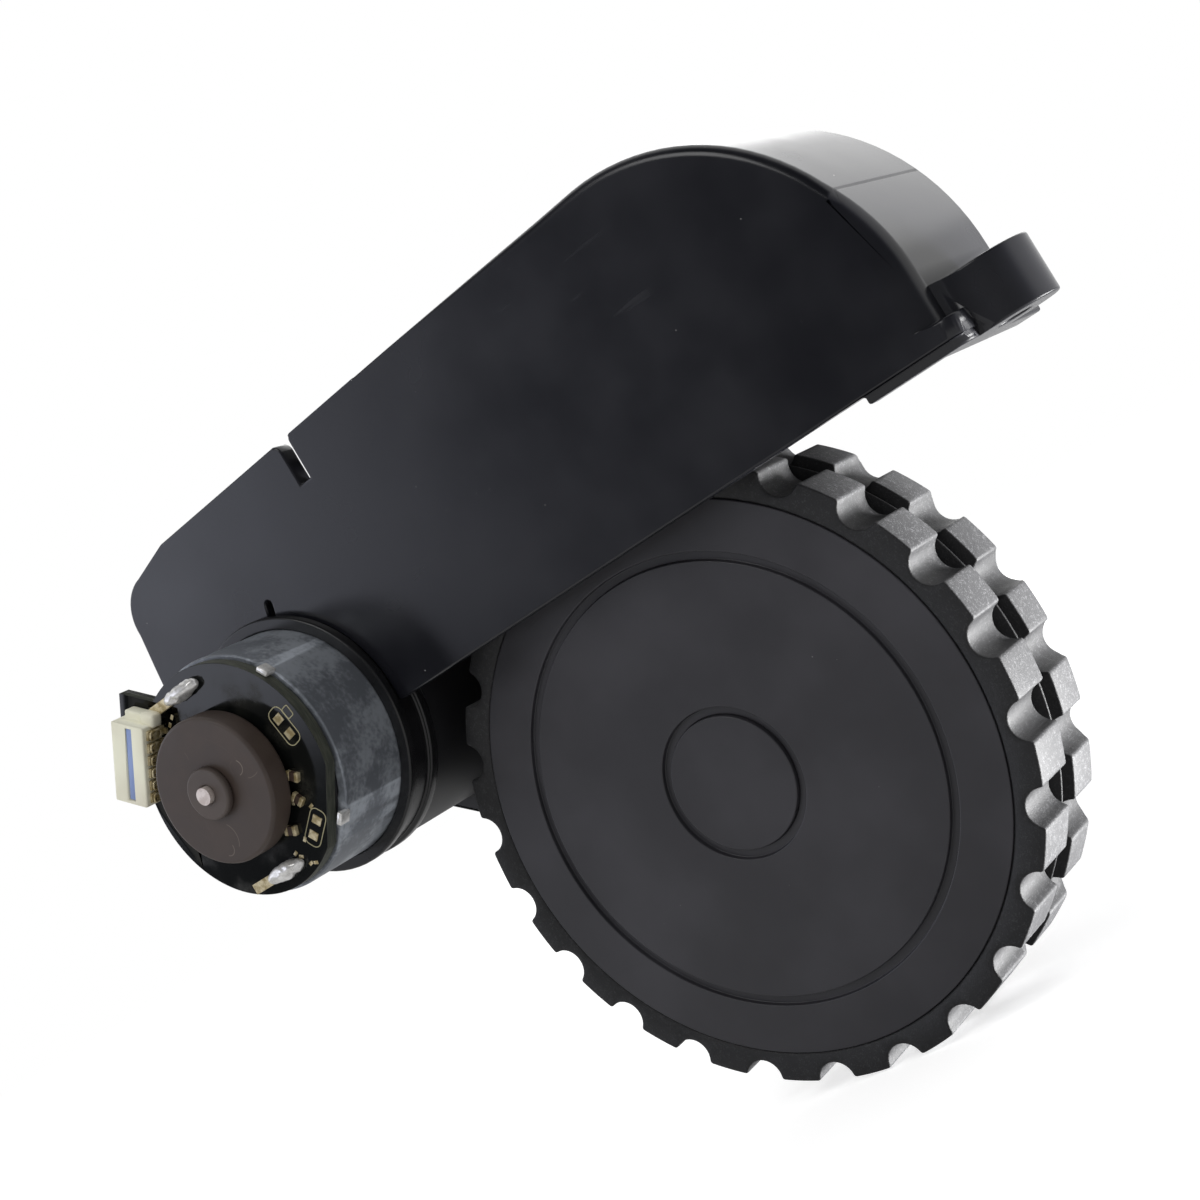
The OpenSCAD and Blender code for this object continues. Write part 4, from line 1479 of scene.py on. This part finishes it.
@dataclass
class Wheel:
    """Rim, hub cap, tyre and what turns with them.

    Attributes:
        layout: Places read from the frame.
        finishes: The module's finishes.
    """

    layout: Layout
    finishes: Finishes

    def build(self) -> None:
        """Make and dress the wheel."""
        done = self.finishes
        Tyre(self.layout).build(done.rubber)
        Maker.softened("wheel_rim", 0.14, done.grey, Body.WHEEL, "grey_matte")
        Maker.softened("hub_cap", 0.16, done.grey, Body.WHEEL, "grey_matte")
        dress({"output_gear": done.acetal, "wheel_axle": done.polished, "axle_clip": done.spring,
               "thrust_washer": done.polished, "axle_screw": done.screw})


@dataclass
class Housing:
    """Shroud, far bracket, their screws and the suspension spring.

    Attributes:
        layout: Places read from the frame.
        finishes: The module's finishes.
        wire: Radius of the spring's wire.
        coil: Radius of the coil's middle line.
        turns: Turns of the coil.
        lead: Distance from each end of the spring to its coil.
        soft_start: Distance from the spring's end on the arm of a point that is worked out but not used.
        soft_end: Distance of a second such point, also not used.
        shoulder: Radius of the shroud's upper right shoulder.
        corner: Radius of its other edges.
        shoulder_from: X at which the shoulder's radius starts and has its full size.
        shoulder_to: X at which the shoulder ends.
        shoulder_least: Part of its radius that it starts with.
        bend: X from which the shroud's front end slants back.
        straight: Depth behind the open face within which the shoulder's edges lie before the bend, and their
            least height.
        slanted: The same two sizes past the bend.
        hook_steps: Steps round each hook of the spring.
        turn_steps: Steps round each turn of its coil.
    """

    layout: Layout
    finishes: Finishes
    wire: float = 0.4
    coil: float = 2.6
    turns: int = 22
    lead: float = 5.4
    soft_start: float = 2.0
    soft_end: float = 26.0
    shoulder: float = 1.1
    corner: float = 0.25
    shoulder_from: tuple[float, float] = (-62.0, -30.0)
    shoulder_to: float = -3.0
    shoulder_least: float = 0.2
    bend: float = -6.35
    straight: tuple[float, float] = (0.1, 4.6)
    slanted: tuple[float, float] = (1.8, 2.0)
    hook_steps: int = 12
    turn_steps: int = 14

    def build(self) -> None:
        """Make and dress what is fixed to the robot."""
        done = self.finishes
        low, _ = Layout.corners("shroud")
        start, full = self.shoulder_from

        def shoulder_share(middle: Vector) -> float:
            """Part of the shoulder's radius that an edge takes.

            Args:
                middle: Middle of the edge.

            Returns:
                The part, from 0 to 1.
            """
            depth, height = self.slanted if middle.x > self.bend else self.straight
            if middle.y > low.y + depth or middle.z < height or not start < middle.x < self.shoulder_to:
                return 0.0
            return min(1.0, max(self.shoulder_least, (middle.x - start) / (full - start)))

        Maker.softened("shroud", self.corner, done.gloss, Body.BASE, "black_gloss", wide=self.shoulder,
                       share=shoulder_share)
        Maker.softened("inner_bracket", 0.22, done.satin, Body.BASE, "black_matte")
        dress({"bracket_screws": done.screw})
        self.spring(done.spring)

    def centre_line(self) -> list[Vector]:
        """Middle line of the spring's wire, hooks included.

        Returns:
            Points from the hook on the arm to the hook on the far bracket.
        """
        low, high = Layout.corners("suspension_spring")
        axis_y, axis_z = (low.y + high.y) / 2, (low.z + high.z) / 2
        start = low.x + self.wire + self.coil
        finish = high.x - self.wire - self.coil
        coil_start = start + self.lead - self.coil
        coil_end = finish - self.lead + self.coil

        def hook(middle: float, way: int) -> list[Vector]:
            """Half circle round the end of the spring.

            Args:
                middle: X of its middle.
                way: 1 for the near end and -1 for the far end.

            Returns:
                Points along the hook.
            """
            result = []
            for k in range(self.hook_steps + 1):
                angle = radians(90 + way * 180 * k / self.hook_steps)
                along, across = self.coil * cos(angle), self.coil * sin(angle)
                result.append(Vector((middle + along, axis_y - across, axis_z)))
            return result

        points = [Vector((coil_start, axis_y - self.coil, axis_z))] + hook(start, 1)
        steps = self.turn_steps * self.turns
        for k in range(steps + 1):
            share = k / steps
            angle = pi + tau * (self.turns + 0.5) * share
            points.append(Vector((coil_start + (coil_end - coil_start) * share,
                                  axis_y - self.coil * cos(angle), axis_z + self.coil * sin(angle))))
        return points + hook(finish, -1) + [Vector((coil_end, axis_y + self.coil, axis_z))]

    def spring(self, finish: bpy.types.Material) -> None:
        """Make the spring, which rides on no body and stays where it is.

        Args:
            finish: Spring steel.
        """
        line = Maker.path("spring_line", self.centre_line())
        mesh = Maker.grown("pull_spring", line, Recipe.wire(), Radius=self.wire * MM, Sides=12,
                           Material=finish)
        made = Maker.piece("pull_spring", mesh, finish, None, "spring_steel", smooth=60.0)
        low, high = Layout.corners("suspension_spring")
        axis = (low + high) / 2
        begin = Vector((low.x + self.soft_start, axis.y, axis.z)) * MM
        end = Vector((low.x + self.soft_end, axis.y, axis.z)) * MM
        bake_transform(made)
        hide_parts("suspension_spring")


@dataclass
class Drive:
    """Gear case, gears, motor and what turns inside them.

    Attributes:
        finishes: The module's finishes.
        plate_back: Y behind which the gear case has its plain finish.
    """

    finishes: Finishes
    plate_back: float = -3.0

    def build(self) -> None:
        """Make and dress the drive."""
        done = self.finishes

        def barrel_or_arm(polygon: bpy.types.MeshPolygon) -> int:
            """Number of the satin finish behind the shroud's plate and of the gloss in front of it."""
            return 1 if polygon.center.y / MM > self.plate_back else 0

        Maker.softened("gearbox_case", 0.25, done.case, Body.ARM, "black_matte", barrel_or_arm, [done.satin])
        Maker.softened("gearbox_cover", 0.2, done.satin, Body.ARM, "black_matte")
        Maker.softened("motor_can", 0.25, done.zinc, Body.ARM, "zinc_steel")
        Maker.softened("encoder_magnet", 0.42, done.magnet, Body.ROTOR, "magnet_brown")
        Maker.softened("encoder_hub", 0.3, done.hub, Body.ROTOR, "hub_grey")
        dress({"cover_screws": done.screw, "motor_end_cap": done.satin, "motor_bushes": done.bronze,
               "motor_screws": done.screw, "stator_magnets": done.ferrite, "motor_brushes": done.ferrite,
               "gear_pins": done.polished, "axle_bushes": done.bronze, "motor_shaft": done.polished,
               "armature_core": done.core, "armature_windings": done.wire, "commutator": done.copper,
               "motor_pinion": done.brass, "first_gear": done.acetal, "second_gear": done.acetal})


@dataclass(frozen=True)
class Outline:
    """A line printed round pads.

    Attributes:
        middle: Its middle in X and Z from the motor's axis.
        heading: Direction of its width in degrees, from X towards Z.
        width: Width.
        length: Length.
        corner: Radius of its corners.
    """

    middle: tuple[float, float]
    heading: float
    width: float
    length: float
    corner: float


@dataclass
class SpeedBoard:
    """Round circuit board with its terminals, chips, pads and plug connector, placed from the motor's axis.

    Attributes:
        layout: Places read from the frame.
        finishes: The module's finishes.
        outlines: Lines printed round the pads.
        line: Radius of a line's section.
        chips: X, Z, heading and length of each small chip.
        chip_end: Length of a chip's metal end inside and past its body.
        chip_height: Height of its ends.
        chip_width: Width of its ends.
        chip_edge: Radius of their edges.
        flecks: X, Z and heading of each bare fleck of gold.
        fleck: Shape of a fleck.
        crimps: Direction of each crimp of the can in degrees.
        crimp: Shape of a crimp, with X away from the motor's axis.
        connector: Direction of the connector in degrees.
        strip: Strip behind the connector's window, with X away from the motor's axis and Z along its row.
        glue: Glue at its upper end, in the same frame.
        contacts: Number of its contacts.
        pitch: Distance between its contacts.
        loop: Middle of its first contact's loop, in the same frame.
        loop_size: Width and length of a loop, and the radius of its corners.
        contact: Radius of a contact's section.
        lumps: Fineness and size of the solder's large and small lumps.
        swell: Largest distance that the solder swells out.
        EDGE_TURN: Part of a face's normal along Y under which it belongs to the board's sawn edge.
    """

    layout: Layout
    finishes: Finishes
    outlines: tuple[Outline, ...] = (
        Outline((10.62, 1.97), 10.5, 2.2, 4.6, 0.8), Outline((6.91, -9.13), -52.9, 2.2, 4.6, 0.8),
        Outline((12.1, 3.05), 10.5, 1.0, 1.3, 0.2))
    line: float = 0.06
    chips: tuple[tuple[float, float, float, float], ...] = (
        (8.2, -3.1, -36.0, 1.5), (7.1, -5.5, -60.0, 1.4), (3.8, -8.0, -24.0, 1.5))
    chip_end: tuple[float, float] = (0.42, 0.08)
    chip_height: float = 0.6
    chip_width: float = 1.12
    chip_edge: float = 0.09
    flecks: tuple[tuple[float, float, float], ...] = (
        (2.3, -10.4, 20.0), (2.8, -11.0, -30.0), (3.6, -12.2, 10.0), (4.6, -9.6, 40.0), (5.9, -5.5, 60.0),
        (8.0, -6.9, 15.0), (4.3, -12.4, -20.0), (-4.6, 9.3, 35.0), (-3.7, 9.9, 35.0))
    fleck: Block = Block((-0.32, -0.05, -0.2), (0.32, 0.05, 0.2), 0.04)
    crimps: tuple[float, ...] = (36.5, -43.9)
    crimp: Block = Block((13.65, 0.5, -0.75), (14.3, 2.1, 0.75), 0.12)
    connector: float = 143.0
    strip: Block = Block((12.25, -3.05, -4.5), (13.15, -2.3, 4.1), 0.08)
    glue: Block = Block((10.0, -2.0, -6.3), (12.1, -0.3, -4.6), 0.45)
    contacts: int = 6
    pitch: float = 1.5
    loop: Point = (10.0, -1.6, -3.95)
    loop_size: tuple[float, float, float] = (1.7, 0.92, 0.3)
    contact: float = 0.14
    lumps: tuple[tuple[float, float], ...] = ((0.8, 0.28), (2.2, 0.12))
    swell: float = 0.05
    EDGE_TURN: ClassVar[float] = 0.6

    def on_board(self, x: float, z: float, heading: float) -> Matrix:
        """Place on the board's outer face, in metres.

        Args:
            x: Distance along X from the motor's axis in millimetres.
            z: Distance along Z from the motor's axis in millimetres.
            heading: Direction of the piece's own X in degrees, from X towards Z.

        Returns:
            The place.
        """
        where = Vector((self.layout.swing_x + x, self.layout.board, self.layout.swing_z + z)) * MM
        return Matrix.Translation(where) @ Matrix.Rotation(-radians(heading), 4, "Y")

    def block(self, name: str, place: Matrix, block: Block, finish: bpy.types.Material, slot: str) -> None:
        """Rounded block on the board.

        Args:
            name: Name of the piece.
            place: Its place.
            block: Its shape in its own frame.
            finish: Its material.
            slot: Material slot of the record.
        """
        mesh = Maker.box(block, name)
        mesh.transform(place)
        Maker.piece(name, mesh, finish, Body.ARM, slot)

    def build(self) -> None:
        """Make and dress the board."""
        done = self.finishes

        def face_or_edge(polygon: bpy.types.MeshPolygon) -> int:
            """Number of the sawn core on the board's edge and of the lacquer elsewhere."""
            return 1 if abs(polygon.normal.y) < self.EDGE_TURN else 0

        Maker.softened("circuit_board", 0.06, done.lacquer, Body.ARM, "board_black", face_or_edge,
                       [done.board_core])
        Maker.softened("connector_housing", 0.22, done.cream, Body.ARM, "cream_plastic")
        dress({"motor_terminals": done.gold, "board_chips": done.chip, "board_pads": done.gold,
               "connector_contacts": done.gold})
        for number, outline in enumerate(self.outlines):
            self.print_line(f"pad_outline_{number + 1}", outline)
        self.chip_ends()
        for number, fleck in enumerate(self.flecks):
            self.block(f"gold_fleck_{number + 1}", self.on_board(*fleck), self.fleck, done.gold,
                       "contact_gold")
        for number, angle in enumerate(self.crimps):
            self.block(f"can_crimp_{number + 1}", self.on_board(0, 0, angle), self.crimp, done.solder,
                       "solder")
        self.plug_parts()
        self.solder_blobs()

    def print_line(self, name: str, outline: Outline) -> None:
        """Line printed round a pair of pads.

        Args:
            name: Name of the piece.
            outline: Its shape and place.
        """
        loop = Maker.rounded_loop(outline.width, outline.length, outline.corner, steps=4)
        path = Maker.path("pad_line", [Vector((point.x, 0, point.y)) for point in loop], closed=True)
        mesh = Maker.grown(name, path, Recipe.wire(), Radius=self.line * MM, Sides=8,
                           Material=self.finishes.marking)
        mesh.transform(self.on_board(*outline.middle, outline.heading))
        Maker.piece(name, mesh, self.finishes.marking, Body.ARM, "contact_gold", smooth=60.0)

    def chip_ends(self) -> None:
        """Metal ends of the small chips."""
        inside, past = self.chip_end
        side = self.chip_width / 2
        for number, (x, z, heading, length) in enumerate(self.chips):
            for end in (-1, 1):
                near, far = sorted((end * (length / 2 - inside), end * (length / 2 + past)))
                name = f"chip_{number + 1}_end_{'near' if end < 0 else 'far'}"
                block = Block((near, -self.chip_height, -side), (far, 0.0, side), self.chip_edge)
                self.block(name, self.on_board(x, z, heading), block, self.finishes.gold, "contact_gold")

    def plug_parts(self) -> None:
        """Strip behind the connector's window, its contact loops and the glue at its upper end."""
        done, place = self.finishes, self.on_board(0, 0, self.connector)
        self.block("window_strip", place, self.strip, done.strip, "cream_plastic")
        self.block("glue_blob", place, self.glue, done.cream, "cream_plastic")
        middle = Vector(self.loop)
        corners = Maker.rounded_loop(*self.loop_size, steps=3)
        points = [middle + Vector((0, point.x, point.y)) for point in corners]
        loop = Maker.grown("contact_loop", Maker.path("loop_line", points, closed=True), Recipe.wire(),
                           Radius=self.contact * MM, Sides=8, Material=done.gold)
        mesh = Maker.grown("contact_loops", loop, Recipe.row(), Count=self.contacts,
                           Step=Vector((0, 0, self.pitch)) * MM, Material=done.gold)
        mesh.transform(place)
        Maker.piece("contact_loops", mesh, done.gold, Body.ARM, "contact_gold", smooth=60.0)

    def solder_blobs(self) -> None:
        """Lumpy solder in place of the plain solids."""
        shape = Maker.merged("solder_joints")
        shape.normal_update()
        for vertex in shape.verts:
            lump = sum(noise.noise(vertex.co / MM * fineness) * size for fineness, size in self.lumps)
            vertex.co += vertex.normal * min(lump, self.swell) * MM
        mesh = bpy.data.meshes.new("solder_blobs")
        shape.to_mesh(mesh)
        shape.free()
        mesh.materials.clear()
        made = Maker.piece("solder_blobs", mesh, self.finishes.solder, Body.ARM, "solder", smooth=50.0)
        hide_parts("solder_joints")


class Shown(Enum):
    """Where a lamp can be seen."""

    EVERYWHERE = "everywhere"
    REFLECTIONS = "reflections"


@dataclass(frozen=True)
class Lamp:
    """A soft square lamp.

    Attributes:
        name: Name of the lamp.
        place: Its place in millimetres.
        size: Side of its square in millimetres.
        power: Power in watts.
        shown: Where it can be seen.
    """

    name: str
    place: Point
    size: float
    power: float
    shown: Shown = Shown.EVERYWHERE

    def build(self, aim: Vector) -> None:
        """Hang the lamp and point it.

        Args:
            aim: Point that it faces, in metres.
        """
        light = bpy.data.lights.new(self.name, "AREA")
        light.shape = "SQUARE"
        light.size = self.size * MM
        light.energy = self.power
        made = Maker.link(self.name, light)
        made.location = Vector(self.place) * MM
        made.rotation_euler = (aim - made.location).to_track_quat("-Z", "Y").to_euler()
        made.visible_camera = self.shown is Shown.EVERYWHERE


@dataclass
class Studio:
    """Camera, lamps, floor and the white room round the part.

    Attributes:
        eye: Place of the camera in millimetres.
        forward: Direction of its view.
        above: Direction of the top of its picture.
        lens: Focal length in millimetres on a 36 mm sensor.
        floor_z: Height of the floor in millimetres.
        room: Brightness of the room on matt surfaces.
        front: Brightness of the room in front of the part in reflections.
        left: Brightness that its left side adds there.
        ceiling: Brightness of the ceiling in reflections.
        front_y: Y of a reflection's direction at which the front starts and is complete.
        left_x: X of its direction at which the left side starts and is complete.
        left_z: Z of its direction at which the left side starts and is complete.
        top_y: Y of its direction at which the ceiling starts and is complete.
        top_z: Z of its direction at which the ceiling starts and is complete.
        tint: Colour of the front in reflections.
        paper: The two colours of the floor's faint clouds.
        glow: Light that the floor adds in the camera's view.
        floor_size: Length of the floor's sides in millimetres.
        lamps: The lamps.
    """

    eye: Point = (69.35, -179.71, -14.1)
    forward: Point = (-0.572865, 0.818454, 0.04427)
    above: Point = (0.442953, 0.26369, 0.85689)
    lens: float = 60.99
    floor_z: float = -62.5
    room: float = 0.5
    front: float = 0.1
    left: float = 1.95
    ceiling: float = 0.3
    front_y: tuple[float, float] = (0.15, -0.3)
    left_x: tuple[float, float] = (-0.54, -0.7)
    left_z: tuple[float, float] = (0.03, 0.1)
    top_y: tuple[float, float] = (0.3, 0.0)
    top_z: tuple[float, float] = (0.3, 0.8)
    tint: Colour = (0.84, 0.87, 1.0)
    paper: tuple[Colour, Colour] = ((0.8, 0.8, 0.8), (0.84, 0.84, 0.84))
    glow: float = 0.62
    floor_size: float = 6000.0
    lamps: tuple[Lamp, ...] = field(default_factory=lambda: (
        Lamp("key_lamp", (450, 340, -420), 300, 24.0, Shown.REFLECTIONS),
        Lamp("rim_lamp", (60, 720, 400), 520, 0.6, Shown.REFLECTIONS),
        Lamp("front_lamp", (-120, -480, 420), 300, 0.9),
        Lamp("back_lamp", (-480, 760, 260), 560, 1.8, Shown.REFLECTIONS)))

    def camera(self) -> None:
        """Set the camera as the photograph was taken."""
        data = bpy.data.cameras.new("camera")
        data.lens = self.lens
        data.sensor_width = 36.0
        data.sensor_fit = "HORIZONTAL"
        data.clip_start = 0.01
        made = Maker.link("camera", data)
        back = -Vector(self.forward).normalized()
        right = Vector(self.above).cross(back).normalized()
        turn = Matrix((right, back.cross(right), back)).transposed()
        made.matrix_world = Matrix.Translation(Vector(self.eye) * MM) @ turn.to_4x4()
        bpy.context.scene.camera = made

    def world(self) -> None:
        """White room, dim in front of the part in reflections."""
        world = bpy.data.worlds.new("room")
        bpy.context.scene.world = world
        world.use_nodes = True
        graph = Graph(world.node_tree)
        world.node_tree.nodes.clear()
        rays = graph.node("ShaderNodeLightPath")
        x, y, z = graph.axes(graph.value("ShaderNodeTexCoord", None, None, "Generated"))
        seen, glossy, through = (Sock(graph, rays.outputs[f"Is {kind} Ray"])
                                 for kind in ("Camera", "Glossy", "Transmission"))
        dim = y.between(*self.front_y) * glossy
        overhead = z.between(*self.top_z) * y.between(*self.top_y) * glossy * (1 - self.ceiling)
        level = self.front + x.between(*self.left_x) * z.between(*self.left_z) * self.left
        white = seen.most(glossy).most(through)
        strength = (white * (1 - self.room) + self.room) * (1 - dim * (1 - level)) * (1 - overhead)
        colour = graph.blend(dim, (1.0, 1.0, 1.0), self.tint)
        light = graph.value("ShaderNodeBackground", None, {"Color": colour, "Strength": strength})
        graph.node("ShaderNodeOutputWorld", None, {"Surface": light})

    def floor(self) -> None:
        """Plain white floor that shows as white and keeps the part's shadow."""
        sides = (-self.floor_size / 2, self.floor_size / 2)
        rows = [[Vector((x, y, self.floor_z)) for x in sides] for y in sides]
        mesh = Maker.grid("floor", rows, close_rows=False, close_columns=False)
        shader = Shader("floor_white")
        seen = shader.value("ShaderNodeLightPath", None, None, "Is Camera Ray")
        colour = shader.blend(shader.noise(40, 3), *self.paper)
        glow = shader.blend(seen * self.glow, (0.0, 0.0, 0.0), (1.0, 1.0, 1.0))
        material = shader.finish(colour, 0.9, None, {"Emission Color": glow, "Emission Strength": 1.0,
                                                     "Specular IOR Level": 0.0})
        mesh.materials.append(material)
        made = Maker.link("floor", mesh)
        made.visible_shadow = False
        made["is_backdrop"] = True

    def build(self) -> None:
        """Light the part."""
        scene = bpy.context.scene
        scene.view_settings.view_transform = "Standard"
        low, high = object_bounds()
        aim = (Vector(low) + Vector(high)) / 2
        for lamp in self.lamps:
            lamp.build(aim)
        self.world()
        self.floor()


def dress(finishes: dict[str, bpy.types.Material]) -> None:
    """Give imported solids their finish.

    Args:
        finishes: Material of each solid by the solid's name.
    """
    for node, material in finishes.items():
        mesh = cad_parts[node].data
        mesh.materials.clear()
        mesh.materials.append(material)
        log.info("%s dressed in %s", node, material.name)


def main() -> None:
    """Build the looks in order."""
    logging.basicConfig(level=logging.INFO, format="%(message)s")
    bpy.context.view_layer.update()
    studio = Studio()
    studio.camera()
    layout = Layout.from_frame()
    magnet_face = Vector((layout.swing_x, layout.magnet, layout.swing_z)) * MM
    finishes = Finishes(tuple(magnet_face))
    Housing(layout, finishes).build()
    Drive(finishes).build()
    SpeedBoard(layout, finishes).build()
    Wheel(layout, finishes).build()
    studio.build()


if __name__ == "__main__":
    main()
